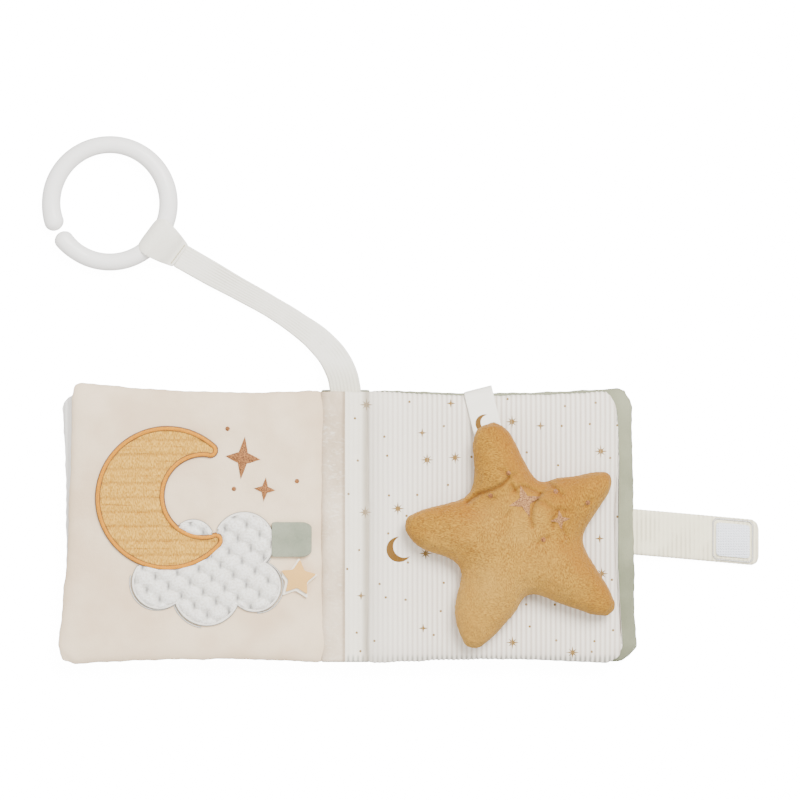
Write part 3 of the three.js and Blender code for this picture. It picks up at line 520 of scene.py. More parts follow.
def pick(piece, test=lambda co: True, kind="VERT"):
    """In edit mode, selects the points, edges or faces whose middle passes the test."""
    only(piece)
    bpy.ops.object.mode_set(mode="EDIT")
    bpy.ops.mesh.select_mode(type=kind)
    bpy.ops.mesh.select_all(action="DESELECT")
    shape = bmesh.from_edit_mesh(piece.data)
    items, middle = {
        "VERT": (shape.verts, lambda point: point.co),
        "EDGE": (shape.edges, lambda side: (side.verts[0].co + side.verts[1].co) / 2),
        "FACE": (shape.faces, lambda face: face.calc_center_median())}[kind]
    for item in items:
        item.select_set(bool(test(middle(item))))
    shape.select_flush_mode()
    bmesh.update_edit_mesh(piece.data)


def modify(piece, kind, **values):
    """Adds a modifier, sets it and applies it."""
    only(piece)
    modifier = piece.modifiers.new(kind.title(), kind)
    for key, value in values.items():
        setattr(modifier, key, value)
    bpy.ops.object.modifier_apply(modifier=modifier.name)


def refine(piece, levels=1):
    modify(piece, "SUBSURF", levels=levels, render_levels=levels)


def roughen(piece, name, size, strength):
    """Moves the points in and out by cloudy noise whose features are size metres across."""
    clouds = bpy.data.textures.new(name, "CLOUDS")
    clouds.noise_scale = size
    modify(piece, "DISPLACE", texture=clouds, strength=strength, mid_level=0.5, texture_coords="LOCAL")


def clamp(value):
    return min(1, max(0, value))


def heading(angle):
    """The direction at an angle on the page."""
    return Vector((math.cos(angle), math.sin(angle)))


def keep(piece, name, value_of):
    """Keeps a number at each point, for the finish to read."""
    layer = piece.data.attributes.new(name, "FLOAT", "POINT")
    for vertex in piece.data.vertices:
        layer.data[vertex.index].value = value_of(vertex)


def smooth(piece, degrees=None):
    only(piece)
    if degrees is None:
        bpy.ops.object.shade_smooth()
    else:
        bpy.ops.object.shade_smooth_by_angle(angle=math.radians(degrees))
    return piece


def dress(piece, name, finish, replaced, body=None):
    """Names a piece, gives it its finish, hides the nodes it stands for and hangs it on what it rides on.
    """
    piece.name = piece.data.name = name
    piece.data.materials.clear()
    piece.data.materials.append(finish.material)
    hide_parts(*replaced)
    if body:
        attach(piece, body)
    print(name, len(piece.data.polygons), "faces")


# %% [markdown]
# ## Padded leaves
# A leaf is two panels sewn together round wadding. The CAD panels and wadding are copied, joined and
# turned into one skin of even squares, and the cloth simulation blows that skin up a little, so that
# its edges draw in and pucker as a stuffed seam does. The swelling is capped, the skin gets a soft
# unevenness, and the result is fitted to the box of its nodes, or a slightly wider one, so that the
# leaves still lie on each other without meeting.

# %% Copy CAD nodes into one mesh


def copy_of(*nodes):
    joint = joined([placed("copy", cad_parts[node].data.copy()) for node in nodes])
    pick(joint)
    bpy.ops.mesh.remove_doubles(threshold=1e-6)
    done()
    return joint


def extent(corners):
    """The lowest and the highest corner of the box round some places."""
    return [Vector(choose(c[i] for c in corners) for i in range(3)) for choose in (min, max)]


def box_of(*nodes):
    return extent([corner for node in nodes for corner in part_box(node)])


# %% Inflate and fit


def inflate(piece, pressure, cap, frames=20):
    """Blows a closed skin up with the cloth simulation; no point moves further than cap metres."""
    start = [vertex.co.copy() for vertex in piece.data.vertices]
    only(piece)
    modifier = piece.modifiers.new("Cloth", "CLOTH")
    cloth = modifier.settings
    cloth.quality = 6
    cloth.mass = 0.2
    cloth.use_pressure = True
    cloth.uniform_pressure_force = pressure
    cloth.effector_weights.gravity = 0
    for number in range(1, frames + 1):
        bpy.context.scene.frame_set(number)
    bpy.ops.object.modifier_apply(modifier=modifier.name)
    bpy.context.scene.frame_set(1)
    for vertex, before in zip(piece.data.vertices, start):
        move = vertex.co - before
        if move.length > cap:
            vertex.co = before + move * (cap / move.length)


def fit(piece, low, high):
    """Scales a piece to a box."""
    was_low, was_high = extent(piece.bound_box)
    scale = Vector((high[i] - low[i]) / (was_high[i] - was_low[i]) for i in range(3))
    for vertex in piece.data.vertices:
        vertex.co = Vector(low[i] + (vertex.co[i] - was_low[i]) * scale[i] for i in range(3))
    piece.data.update()


def pull(piece, centre, reach, move):
    """Moves the points round a place, those further away less, as proportional editing does."""
    for vertex in piece.data.vertices:
        away = math.hypot(vertex.co.x / MM - centre[0], vertex.co.y / MM - centre[1]) / reach
        if away < 1:
            share = (1 - away * away) ** 2
            vertex.co.x += move[0] * MM * share
            vertex.co.y += move[1] * MM * share


def blown_up(nodes, voxel, pressure, cap, turn=0.0):
    """One skin round some nodes, made of even squares that lie at an angle, and blown up."""
    skin = copy_of(*nodes)
    skin.data.transform(Matrix.Rotation(turn, 4, "Z"))
    skin.data.remesh_voxel_size = voxel * MM
    bpy.ops.object.voxel_remesh()
    skin.data.transform(Matrix.Rotation(-turn, 4, "Z"))
    inflate(skin, pressure, cap * MM)
    pick(skin)
    return skin


def cushion(nodes, wider):
    """A padded leaf, wider than its nodes by so many millimetres at its left and right. Its corners away
    from the spine are drawn in a little, as sewn corners are."""
    spine_reach, corner_reach, corner_draw = 50, 8, 1.5
    low, high = box_of(*nodes)
    low, high = low - Vector((wider[0] * MM, 0, 0)), high + Vector((wider[1] * MM, 0, 0))
    pad = blown_up(nodes, voxel=2.4, pressure=4, cap=1.6, turn=0.5)
    bpy.ops.mesh.vertices_smooth(factor=0.5, repeat=8)
    done()
    refine(pad)
    roughen(pad, "uneven", 0.012, 0.5 * MM)
    fit(pad, low, high)
    for x, inward in ((low.x, 1), (high.x, -1)):
        for y, up in ((low.y, 1), (high.y, -1)):
            if abs(x) > spine_reach * MM:
                pull(pad, (x / MM + inward, y / MM + up), corner_reach,
                     (corner_draw * inward, corner_draw * up))
    return smooth(pad)


# %% Four leaves
cover_layers, page_layers = ("inner", "padding", "outer"), ("front", "padding", "back")
leaf = {}
for body, layers, finish, slot, wider in (
        ("front_cover", cover_layers, white_cord, "corduroy", (0, 0)),
        ("back_cover", cover_layers, sage, "sage_velour", (0, 2.4)),
        ("moon_page", page_layers, beige, "velour", (0, 1.5)),
        ("star_page", page_layers, sage, "sage_velour", (1.3, 0))):
    nodes = [f"{body}_{layer}" for layer in layers]
    leaf[body] = cushion(nodes, wider)
    if body == "back_cover":
        pull(leaf[body], (122, 8), 75, (2.2, 0))
    dress(leaf[body], body + "_cushion", finish, nodes, body)

# %% [markdown]
# ## Corduroy with real wales
# The star page's front is corduroy, and its wales show along the head and foot, where they give the
# edge small scallops. So that cloth is a grid of its own with four columns to a wale and few rows. Each
# column reaches from seam to seam, each point is set down on the padded page, and crests stand above
# the ground. The page under it keeps the sage velour of its back.

# %% Lay a ribbed cloth over a padded page


def touch(surface, start, way):
    """Where a ray meets a piece, or nothing."""
    hit, place, _, _ = surface.ray_cast(Vector(start), Vector(way))
    return place if hit else None


def ribbed_cover(surface, low, high, seam_z, pitch, rise):
    """A cloth over a page whose wales have this pitch and rise. Its first rows at head and foot lie
    closer together, at the distances in ends from the seams. All these are in millimetres."""
    ends = [0.15, 0.5, 1.0, 1.7, 2.6, 3.8]
    inner = round((high.y - low.y) / MM / 1.3)
    columns = round((high.x - low.x) / (pitch / 4 * MM))
    rows = 2 * len(ends) + inner - 1
    cloth = made(bpy.ops.mesh.primitive_grid_add, x_subdivisions=columns, y_subdivisions=rows, size=1)
    seams = []
    for i in range(columns + 1):
        x = low.x + 0.15 * MM + (high.x - low.x - 0.3 * MM) * i / columns
        top = touch(surface, (x, 0.1, seam_z), (0, -1, 0))
        bottom = touch(surface, (x, -0.1, seam_z), (0, 1, 0))
        seams.append((x, bottom.y if bottom else 0, top.y if top else 0))
    for vertex in cloth.data.vertices:
        i, j = round((vertex.co.x + 0.5) * columns), round((vertex.co.y + 0.5) * rows)
        x, bottom, top = seams[i]
        if j < len(ends):
            from_end, y = ends[j], bottom + ends[j] * MM
        elif rows - j < len(ends):
            from_end, y = ends[rows - j], top - ends[rows - j] * MM
        else:
            share = (j - len(ends) + 1) / (rows - 2 * len(ends) + 2)
            from_end = 9
            y = bottom + ends[-1] * MM + (top - bottom - 2 * ends[-1] * MM) * share
        slow = 0.7 + 0.3 * math.sin(x / MM / 17 + 1.3 * math.sin(y / MM / 23))
        crest = slow * (0.5 + 0.5 * math.cos(2 * math.pi * x / (pitch * MM))) ** 0.7
        outer = touch(surface, (0.2, y, seam_z), (-1, 0, 0))
        if outer:
            tuft = 0.15 * math.sin(y / MM * 2.2 + 2 * math.sin(y / MM / 5)) + 0.1 * math.sin(y / MM * 1.1)
            x = min(x, outer.x + (tuft - 0.35) * MM)
        above = touch(surface, (x, y, 0.1), (0, 0, -1))
        z = above.z if above else seam_z
        out = max(0, 1 - from_end / 3) * crest * rise * 1.3 * MM
        y += out if j > rows / 2 else -out
        vertex.co = Vector((x, y, z + (0.12 + rise * crest) * MM))
    cloth.data.update()
    return cloth


page_low, page_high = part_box("star_page_front")
seam_level = page_low.z + 0.1 * MM
page_low.x -= 1.3 * MM
cover = ribbed_cover(leaf["star_page"], page_low, page_high, seam_level, 2.1, 0.32)
modify(cover, "SOLIDIFY", thickness=0.15 * MM, offset=-1)
smooth(cover)
dress(cover, "star_page_corduroy", printed_cord, ["star_page_front"], "star_page")
for piece in (leaf["star_page"], cover):
    pull(piece, (117, 31), 26, (1.8, 0))

# %% [markdown]
# ## Laying trim on the page
# Appliques, stitches and embroidery are flat pieces sewn to a padded page, so they take its unevenness.
# Each is made flat at the page's level and then lifted or lowered, point by point, by the height of the
# page under it. A ray straight down finds that height.

# %% Drape a flat piece


def drape(piece, surface, level):
    for vertex in piece.data.vertices:
        place = touch(surface, (vertex.co.x, vertex.co.y, 0.1), (0, 0, -1))
        if place:
            vertex.co.z += place.z - level
    piece.data.update()
    return piece


# %% [markdown]
# ## Satin stitch
# A satin-stitched edge is thread laid across a line, stitch beside stitch, so it is a raised band with
# fine ribs across. The line is a curve of points half a stitch apart with a round profile, turned into
# a mesh. Every other ring is shrunk a little, which leaves one rib for each stitch, and the underside
# is pressed flat.

# %% Points along a line, evenly spaced


def evenly(points, spacing, closed):
    line = [Vector((*p, 0)) for p in points] + ([Vector((*points[0], 0))] if closed else [])
    lengths = [0]
    for a, b in zip(line, line[1:]):
        lengths.append(lengths[-1] + (b - a).length)
    count = max(2, 2 * round(lengths[-1] / spacing / 2))
    out, k = [], 0
    for i in range(count + (0 if closed else 1)):
        want = lengths[-1] * i / count
        while lengths[k + 1] < want and k < len(lengths) - 2:
            k += 1
        out.append(line[k].lerp(line[k + 1], (want - lengths[k]) / (lengths[k + 1] - lengths[k])))
    return out


# %% A band of satin stitch


def new_curve(kind, count):
    """A curve in space and its one spline, with so many points."""
    curve = bpy.data.curves.new("line", "CURVE")
    curve.dimensions = "3D"
    spline = curve.splines.new(kind)
    (spline.points if kind == "POLY" else spline.bezier_points).add(count - 1)
    return curve, spline


def satin_band(points, width, height, level, closed=True, stitch=0.5, rib=0.13, sides=8):
    """points are in millimetres on the page; width, height, stitch and rib too."""
    path = evenly(points, stitch / 2, closed)
    curve, spline = new_curve("POLY", len(path))
    for point, place in zip(spline.points, path):
        point.co = (place.x * MM, place.y * MM, 0, 1)
    spline.use_cyclic_u = closed
    curve.bevel_depth = width / 2 * MM
    curve.bevel_resolution = (sides - 4) // 2
    curve.use_fill_caps = not closed
    only(placed("band", curve))
    bpy.ops.object.convert(target="MESH")
    band = bpy.context.object
    around = len(band.data.vertices) // len(path)
    order = {tuple(round(c, 9) for c in v.co): v.index // around for v in band.data.vertices}
    pick(band, lambda co: order.get(tuple(round(c, 9) for c in co), 0) % 2)
    bpy.ops.transform.shrink_fatten(value=-rib * MM)
    pick(band, lambda co: co.z < -0.01 * MM)
    bpy.ops.transform.resize(value=(1, 1, 0), center_override=(0, 0, 0))
    pick(band)
    bpy.ops.transform.resize(value=(1, 1, height / width * 2), center_override=(0, 0, 0))
    bpy.ops.transform.translate(value=(0, 0, level))
    done()
    # How low a point lies on the band, which the thread's finish paints as shade.
    keep(band, "rim", lambda v: 1 - clamp((v.co.z - level) / (height * MM)))
    return smooth(band, 60)


# %% [markdown]
# ## The moon
# The moon is a crescent cut from wide-ribbed plush with a satin-stitched edge. A crescent is a disc
# with a bite out of it: one test says which places are on it, and one list of points follows its
# outline. The plush is a fine grid whose faces off the crescent are deleted. Its rows are then raised
# by their place within a rib, which gives round ribs with sharp valleys.

# %% The crescent's outline and inside
moon_centre = Vector((-75.5, 12.3))
moon_radius, bite_radius, bite_offset, moon_tilt = 30.8, 16.4, 15.4, math.radians(3.5)
bite_centre = moon_centre + heading(moon_tilt) * bite_offset


def inside_by(x, y):
    """How far inside the crescent a place is, in millimetres. Outside it, a negative number."""
    place = Vector((x, y))
    return min(moon_radius - (place - moon_centre).length, (place - bite_centre).length - bite_radius)


def turned(centre, radius, angle):
    return centre + heading(moon_tilt + angle) * radius


def crescent_outline(inset, horn):
    """Points round the crescent, with each horn rounded where it is horn millimetres across."""
    radius, bite = moon_radius - inset, bite_radius + inset
    along = (radius**2 - bite**2 + bite_offset**2) / (2 * bite_offset)
    across = math.sqrt(radius**2 - along**2)
    outer, inner = math.atan2(across, along), math.atan2(across, along - bite_offset)
    while (turned(moon_centre, radius, outer) - turned(bite_centre, bite, inner)).length < horn:
        outer += 0.05 / radius
        inner += 0.05 / bite
    back, mouth = [[turned(centre, size, start + (2 * math.pi - 2 * start) * i / count)
                    for i in range(count + 1)] for centre, size, start, count in (
                        (moon_centre, radius, outer, 120), (bite_centre, bite, inner, 80))]
    points = back + round_end(back[-1], mouth[-1]) + mouth[::-1] + round_end(mouth[0], back[0])
    return [tuple(point) for point in points]


def round_end(a, b, steps=9):
    """Points of a half circle from a to b."""
    middle, spoke = (a + b) / 2, (a - b) / 2
    return [middle + Matrix.Rotation(math.pi * i / steps, 2) @ spoke for i in range(1, steps)]


# %% A patch of cloth cut to a shape


def patch(low, high, step, level, inside):
    """A flat grid over a box in millimetres, without the faces whose middle isn't inside, and its area."""
    size = (high[0] - low[0], high[1] - low[1])
    middle = ((high[0] + low[0]) / 2 * MM, (high[1] + low[1]) / 2 * MM, level)
    cloth = made(bpy.ops.mesh.primitive_grid_add, (size[0] * MM, size[1] * MM, 1), size=1, location=middle,
                 x_subdivisions=round(size[0] / step), y_subdivisions=round(size[1] / step))
    pick(cloth, lambda co: not inside(co.x / MM, co.y / MM), "FACE")
    bpy.ops.mesh.delete(type="FACE")
    done()
    return cloth, sum(face.area for face in cloth.data.polygons)


# %% The ribbed plush
rib_pitch, rib_rise, rib_rows, edge_width = 6.1, 0.55, 10, 2.5
horn_line = crescent_outline(edge_width / 2, 4.4)
open_way, moon_half = heading(moon_tilt), Vector((31.72, 30.5))
horn_reach = max(Vector(p).dot(open_way) for p in horn_line) + edge_width / 2
moon_low, moon_high = moon_centre - moon_half, moon_centre + moon_half


def past_horn(x, y):
    """How far past the line that touches the stitching round the two horns a place is."""
    return Vector((x, y)).dot(open_way) - horn_reach


def on_moon(x, y):
    return inside_by(x, y) > 0.9 and past_horn(x, y) < -1.9


moon, moon_area = patch(moon_low, moon_high, rib_pitch / rib_rows, page_top + 0.45 * MM, on_moon)
# How near each point lies to a valley between ribs, which the finish paints as shade.
keep(moon, "valley_shade", lambda v: 1.0 - min(
    1, 2.4 * abs(((v.co.y / MM - moon_low.y) / rib_pitch + 0.45) % 1 - 0.5) * 2))
for row in range(rib_rows):
    pick(moon, lambda co: int(((co.y / MM - moon_low.y) / rib_pitch % 1 + 1e-4) * rib_rows) == row)
    rise = rib_rise * math.sin(math.pi * (row + 0.5) / rib_rows) ** 0.45
    bpy.ops.transform.translate(value=(0, 0, rise * MM))
done()
drape(moon, leaf["moon_page"], page_top)
modify(moon, "SOLIDIFY", thickness=0.6 * MM, offset=-1)
smooth(moon)
dress(moon, "moon_cord_plush", moon_cord, ["moon_applique"], "moon_page")

# %% Its stitched edge
edge = satin_band(horn_line, edge_width, 1.8, page_top + 0.1 * MM, stitch=0.55, sides=12)
drape(edge, leaf["moon_page"], page_top)
dress(edge, "moon_satin_edge", mustard_thread, ["moon_border"], "moon_page")

# %% [markdown]
# ## The cloud
# The cloud is dimpled plush: soft puffs in slanting rows with a deep dimple where four meet. One puff
# is a flattened ball, copied over the cloud; a fine grid is then pressed down on them from above, so
# it takes their shape as one cloth. Its outline is the outside of five overlapping rounds, and it
# slips under the moon.

# %% The cloud's outline
cloud_rounds = [(-79.4, -23.5, 11.3), (-58.7, -27.8, 14.3), (-37.8, -25.2, 10.8), (-42.5, -6.1, 12.6),
                (-64.6, -5.3, 8.7)]
cloud_middle = Vector((-57.5, -17.0))


def cloud_reach(angle):
    """How far the cloud reaches from its middle in a direction."""
    ray = heading(angle)
    best = 0
    for x, y, radius in cloud_rounds:
        to = Vector((x, y)) - cloud_middle
        off = abs(ray.x * to.y - ray.y * to.x)
        if off < radius:
            best = max(best, ray.dot(to) + math.sqrt(radius**2 - off**2))
    return best


def moon_gap(x, y):
    """How far outside the moon a place is. Under the moon, a negative number."""
    return max(-inside_by(x, y), past_horn(x, y))


def rim_gap(x, y):
    """How far inside the cloud's outline a place is."""
    away = Vector((x, y)) - cloud_middle
    return cloud_reach(math.atan2(away.y, away.x)) - away.length


# %% Puffs, and the cloth pressed on them
along_row, to_next_row = Vector((5.5, -4.1)), Vector((-3.7, -5.7))
cells = [(row, column) for row in range(-8, 9) for column in range(-8, 9)]
puff_level, puff_rise, above_puffs = page_top + 0.3 * MM, 2.7, page_top + 6 * MM
puff = made(bpy.ops.mesh.primitive_uv_sphere_add, (4.0 * MM, 3.65 * MM, puff_rise * MM),
            segments=20, ring_count=12, radius=1)
helpers = [puff]
for row, column in cells:
    place = cloud_middle + along_row * column + to_next_row * row
    place += Vector((math.sin(7.1 * row + 3.3 * column), math.sin(5.7 * column - 2.9 * row))) * 0.22
    helpers.append(placed("puff", puff.data.copy()))
    helpers[-1].location = (place.x * MM, place.y * MM, puff_level)
puff.location = helpers[1].location
puffs = joined(helpers)
cloud, cloud_area = patch((-92, -43), (-26, 8), 0.5, above_puffs,
                          lambda x, y: rim_gap(x, y) > 0.5 and moon_gap(x, y) > -1.2)
modify(cloud, "SHRINKWRAP", target=puffs, wrap_method="PROJECT", use_negative_direction=True,
       use_positive_direction=False, use_project_z=True, project_limit=0.1)
bpy.data.objects.remove(puffs)
lowest = puff_level + 0.3 * MM
pick(cloud, lambda co: co.z > above_puffs - MM or co.z < lowest)
bpy.ops.transform.resize(value=(1, 1, 0), center_override=(0, 0, lowest))
pick(cloud)
bpy.ops.mesh.vertices_smooth(factor=0.5, repeat=1)
done()
slits = [cloud_middle + along_row * (column + 0.5) + to_next_row * (row + 0.5) for row, column in cells]


def dimple_shade_of(vertex):
    """Painted shade: near 1 in the upright slit of a dimple, and a little all round it on the lower cloth.
    """
    x, y = vertex.co.x / MM, vertex.co.y / MM
    depth = 1 - clamp(((vertex.co.z - puff_level) / MM - 0.3) / (puff_rise * 0.5))
    slit = min(((x - s.x) / 0.5) ** 2 + ((y - s.y) / 1.5) ** 2 for s in slits)
    return 0.3 * depth**2 + 0.7 * math.exp(-slit)


keep(cloud, "dimple_shade", dimple_shade_of)
for vertex in cloud.data.vertices:
    x, y = vertex.co.x / MM, vertex.co.y / MM
    share = clamp((min(rim_gap(x, y), 1.2 + moon_gap(x, y)) - 0.5) / 2.6)
    vertex.co.z = puff_level + (vertex.co.z - puff_level) * (0.25 + 0.75 * share * (2 - share))
drape(cloud, leaf["moon_page"], page_top)
modify(cloud, "SOLIDIFY", thickness=0.4 * MM, offset=-1)
smooth(cloud)
dress(cloud, "cloud_puffed_plush", fluff, ["cloud_applique"], "moon_page")

# %% Its stitched edge, in the runs that the moon leaves free, and a thinner second line outside it


def rim_point(degrees, out):
    """A place out millimetres outside the cloud's outline."""
    angle = math.radians(degrees)
    return cloud_middle + heading(angle) * (cloud_reach(angle) + out)


runs = [[]]
for i in range(721):
    place = rim_point(i / 2, -0.75)
    if moon_gap(place.x, place.y) < 0.6:
        runs.append([])
    else:
        runs[-1].append(tuple(place))
runs[0] = runs.pop() + runs[0][1:]
bands = [satin_band(run, 1.7, 1.6, page_top + 0.1 * MM, closed=False, sides=12)
         for run in runs if len(run) > 6]
for first, last in ((186, 262), (316, 368)):
    outer_line = [tuple(rim_point(degree, 0.75)) for degree in range(first, last + 1)]
    bands.append(satin_band(outer_line, 0.8, 0.7, page_top, closed=False))
cloud_edge = drape(joined(bands), leaf["moon_page"], page_top)
dress(cloud_edge, "cloud_satin_edge", white_thread, ["cloud_border"], "moon_page")

# %% [markdown]
# ## Embroidered sparkles and dots
# A sparkle is a filled satin stitch with four points. It starts as a circle of sixteen points: those
# at the tips stay, and the others are drawn in by two amounts, which hollows the sides. The face is
# raised and its rim inset, so that the thread stands a little proud. A dot is a knot of thread: a
# flattened ball whose every other meridian is drawn in.

# %% Sparkle and knot


def sixteenth(co):
    """Which sixteenth of a turn a point is at, counted round the origin."""
    return round(math.degrees(math.atan2(co.y, co.x)) / 22.5)


def sparkle(x, y, half_width, half_height, level, tilt):
    lift = 0.45
    star = made(bpy.ops.mesh.primitive_circle_add, vertices=16, radius=1, fill_type="NGON")
    for step, share in ((2, 0.36), (1, 0.5), (3, 0.5)):
        pick(star, lambda co: co.length > 0.9 and sixteenth(co) % 4 == step)
        bpy.ops.transform.resize(value=(share, share, 1), center_override=(0, 0, 0))
    done()
    star.scale = (half_width * MM, half_height * MM, 1)
    settle(star)
    pick(star, kind="FACE")
    bpy.ops.mesh.extrude_region_move(TRANSFORM_OT_translate={"value": (0, 0, lift * 0.6 * MM)})
    bpy.ops.mesh.inset(thickness=0.22 * MM)
    bpy.ops.transform.translate(value=(0, 0, lift * 0.4 * MM))
    done()
    star.location = (x * MM, y * MM, level)
    star.rotation_euler = (0, 0, math.radians(tilt))
    settle(star)
    modify(star, "TRIANGULATE")
    return smooth(star, 40)


def knot(x, y, level, radius=1.1):
    ball = made(bpy.ops.mesh.primitive_uv_sphere_add, segments=16, ring_count=8, radius=radius * MM)
    pick(ball, lambda co: sixteenth(co) % 2)
    bpy.ops.transform.resize(value=(0.82, 0.82, 0.9), center_override=(0, 0, 0))
    done()
    ball.scale = (1, 1, 0.55)
    ball.location = (x * MM, y * MM, level)
    settle(ball)
    return smooth(ball, 50)


# %% On the moon page
page = leaf["moon_page"]
for name, x, y, half_width, half_height in (
        ("sparkle_large", -43.4, 29.4, 7.5, 9.1), ("sparkle_small", -34.1, 16.0, 4.6, 5.2)):
    star = drape(sparkle(x, y, half_width, half_height, page_top, -5.5), page, page_top)
    dress(star, name + "_stitches", copper_thread, [name], "moon_page")
for name, x, y in (("dot_upper", -49.9, 41.8), ("dot_middle", -47.2, 16.2), ("dot_right", -20.4, 19.5)):
    ball = drape(knot(x, y, page_top), page, page_top)
    dress(ball, name + "_knot", copper_thread, [name], "moon_page")

# %% [markdown]
# ## Flaps
# Two flaps are sewn in at the cloud's right edge: a small padded tab of sage velour, and a felt star
# of two layers. The felt star lifts about its sewn edge.

# %% The sage tab
tab_velour = velour("velour_tab", (146, 150, 130), (96, 104, 88), grain=0.2, pile=0.7)
tab_low, tab_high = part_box("sage_tab")
tab_low.x -= 1.4 * MM
tab_width, near_end = 14.7, 0.8 * MM
tab = block(tab_low, tab_high)
pick(tab)
bpy.ops.mesh.subdivide(number_cuts=9)
for share, draw in ((1.0, 1.7), (0.88, 0.45)):
    edge_x = tab_low.x + (tab_high.x - tab_low.x) * share
    pick(tab, lambda co: abs(co.x - edge_x) < near_end)
    bpy.ops.transform.resize(value=(1, 1 - 2 * draw / tab_width, 1),
                             center_override=(tab_low + tab_high) / 2)
done()
refine(tab, 2)
fit(tab, tab_low, tab_high)
smooth(tab)
dress(tab, "sage_tab_flap", tab_velour, ["sage_tab"])
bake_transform(tab)

# %% The felt star


def felt_star(radius, low_z, thickness, root_x, shift):
    centre = Vector(((-20 - shift) * MM, (-21.7 - shift) * MM, low_z))
    star = made(bpy.ops.mesh.primitive_circle_add, vertices=10, radius=radius * MM, fill_type="NGON",
                location=centre, rotation=(0, 0, math.radians(84 - 90)))
    tips = [centre + heading(math.radians(84 + 72 * i)).to_3d() * radius * MM for i in range(5)]
    pick(star, lambda co: min((co - tip).length for tip in tips) > 0.2 * MM)
    bpy.ops.transform.resize(value=(0.52, 0.52, 1), center_override=centre)
    bpy.ops.mesh.select_all(action="SELECT")
    bpy.ops.mesh.bevel(offset=radius * 0.09 * MM, segments=3, affect="VERTICES")
    bpy.ops.mesh.select_mode(type="FACE")
    bpy.ops.mesh.select_all(action="SELECT")
    bpy.ops.mesh.extrude_region_move(TRANSFORM_OT_translate={"value": (0, 0, thickness)})
    bpy.ops.mesh.select_all(action="SELECT")
    bpy.ops.mesh.normals_make_consistent(inside=False)
    bpy.ops.mesh.bisect(plane_co=(root_x, 0, 0), plane_no=(1, 0, 0), use_fill=True, clear_inner=True)
    done()
    modify(star, "BEVEL", width=0.15 * MM, segments=2, limit_method="ANGLE", angle_limit=math.radians(50))
    modify(star, "TRIANGULATE")
    return smooth(star, 40)


for node, radius, finish, slot, shift in (
        ("felt_star_backing", 9.3, white_felt, "white_felt", 0.5),
        ("felt_star_face", 8.0, peach_felt, "peach_felt", -0.1)):
    low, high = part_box(node)
    star = felt_star(radius, low.z, high.z - low.z, low.x, shift)
    dress(star, node + "_cloth", finish, [node], "felt_star")

# %% [markdown]
# ## The plush star
# The star is a toy of its own: two star-shaped panels of plush round a firm stuffing. It is made as the
# leaves are, from the CAD's skins and stuffing, but blown up harder, because it is fuller. The stitched
# sparkles pull the plush in, and a fold runs from the left notch to the embroidery, so the points there
# are pressed down with a soft falloff.

# %% Body of the star
star_nodes = ("plush_star_front", "plush_star_stuffing", "plush_star_back")
star_low, star_high = box_of(*star_nodes)
toy = blown_up(star_nodes, voxel=2.2, pressure=5, cap=3.0)
bpy.ops.transform.shrink_fatten(value=1.3 * MM)
done()
for centre, reach, move in (
        ((56, 37), 16, (-2.4, 1.2)), ((69, 38), 14, (0.6, 2.6)), ((50, -32), 18, (-3.5, 0)),
        ((38, -4), 12, (-1.5, -1.5)), ((80, 20), 10, (0.5, -2.5)), ((100, 22), 14, (0, -1.5)),
        ((80, -31), 9, (-1.5, 2.4))):
    pull(toy, centre, reach, move)
star_low -= Vector((1.8, 1.5, 0)) * MM
star_high += Vector((1.6, 3.0, 0)) * MM
refine(toy)
fit(toy, star_low, star_high)
print("star", len(toy.data.polygons), "faces")

# %% Folds in the plush


def press(piece, path, depth, reach, folds):
    """Presses the top of a piece down along a line of places in millimetres, and adds to folds how
    deep in a fold each point lies, from 0 to 1."""
    line = evenly(path, 0.7, False)
    near_x, near_y = [p.x for p in line], [p.y for p in line]
    span = 3 * reach
    box = (min(near_x) - span, max(near_x) + span, min(near_y) - span, max(near_y) + span)
    for vertex in piece.data.vertices:
        x, y = vertex.co.x / MM, vertex.co.y / MM
        if vertex.co.z > star_low.z + 6 * MM and box[0] < x < box[1] and box[2] < y < box[3]:
            near = min((x - a) ** 2 + (y - b) ** 2 for a, b in zip(near_x, near_y))
            share = math.exp(-near / reach**2)
            vertex.co.z -= depth * MM * share
            folds[vertex.index] = min(1, folds.get(vertex.index, 0) + share**2 * depth * 0.5)
    piece.data.update()


refine(toy)
folds = {}
for path, depth, reach in (
        ([(52.0, 10.8), (56.5, 14), (62, 16.0), (66.5, 18.2), (69.2, 21)], 2.0, 1.0),
        ([(55.0, 8.0), (60.5, 11), (65.5, 13.2), (69.5, 15.0)], 1.5, 3.8),
        ([(82.6, 14.2), (80.4, 11.0), (79.0, 8.0), (78.6, 3.6), (79.4, 0.6)], 1.5, 0.8),
        ([(70.2, 18.6), (72.6, 15.2)], 1.2, 0.8),
        ([(88, 0.8), (87.6, 4.2), (89.8, 7.2)], 1.1, 0.8),
        ([(71, 15.5), (74.5, 17.8), (78.5, 16.5), (83, 14.5)], 1.0, 0.9),
        ([(80.5, 11.8), (84.5, 11), (87, 8.6)], 0.9, 0.9),
        ([(70.5, 7.6), (68, 5.4)], 0.8, 0.9), ([(86.5, 6.4), (90, 8.2), (95, 7)], 0.9, 0.9),
        ([(92, 0.4), (93.2, -2.8)], 1.0, 0.8), ([(86.6, 18.8), (91.6, 14.2)], 1.2, 1.0),
        ([(66.6, 24.6), (69.2, 21.8), (72.2, 22.6)], 0.8, 0.9), ([(59.2, 13.2), (64, 12.4)], 0.8, 0.9),
        ([(81.5, -6.2), (85.6, -3.4)], 0.8, 0.9), ([(101, 8.8), (104, 11.6)], 0.7, 0.9),
        ([(76, 11.3), (76.4, 11.3)], 1.6, 4.5), ([(90.9, 3.5), (91.2, 3.5)], 1.2, 3.2)):
    press(toy, path, depth, reach, folds if reach < 2 else {})
roughen(toy, "pile", 0.0014, 0.4 * MM)
fit(toy, star_low, star_high)
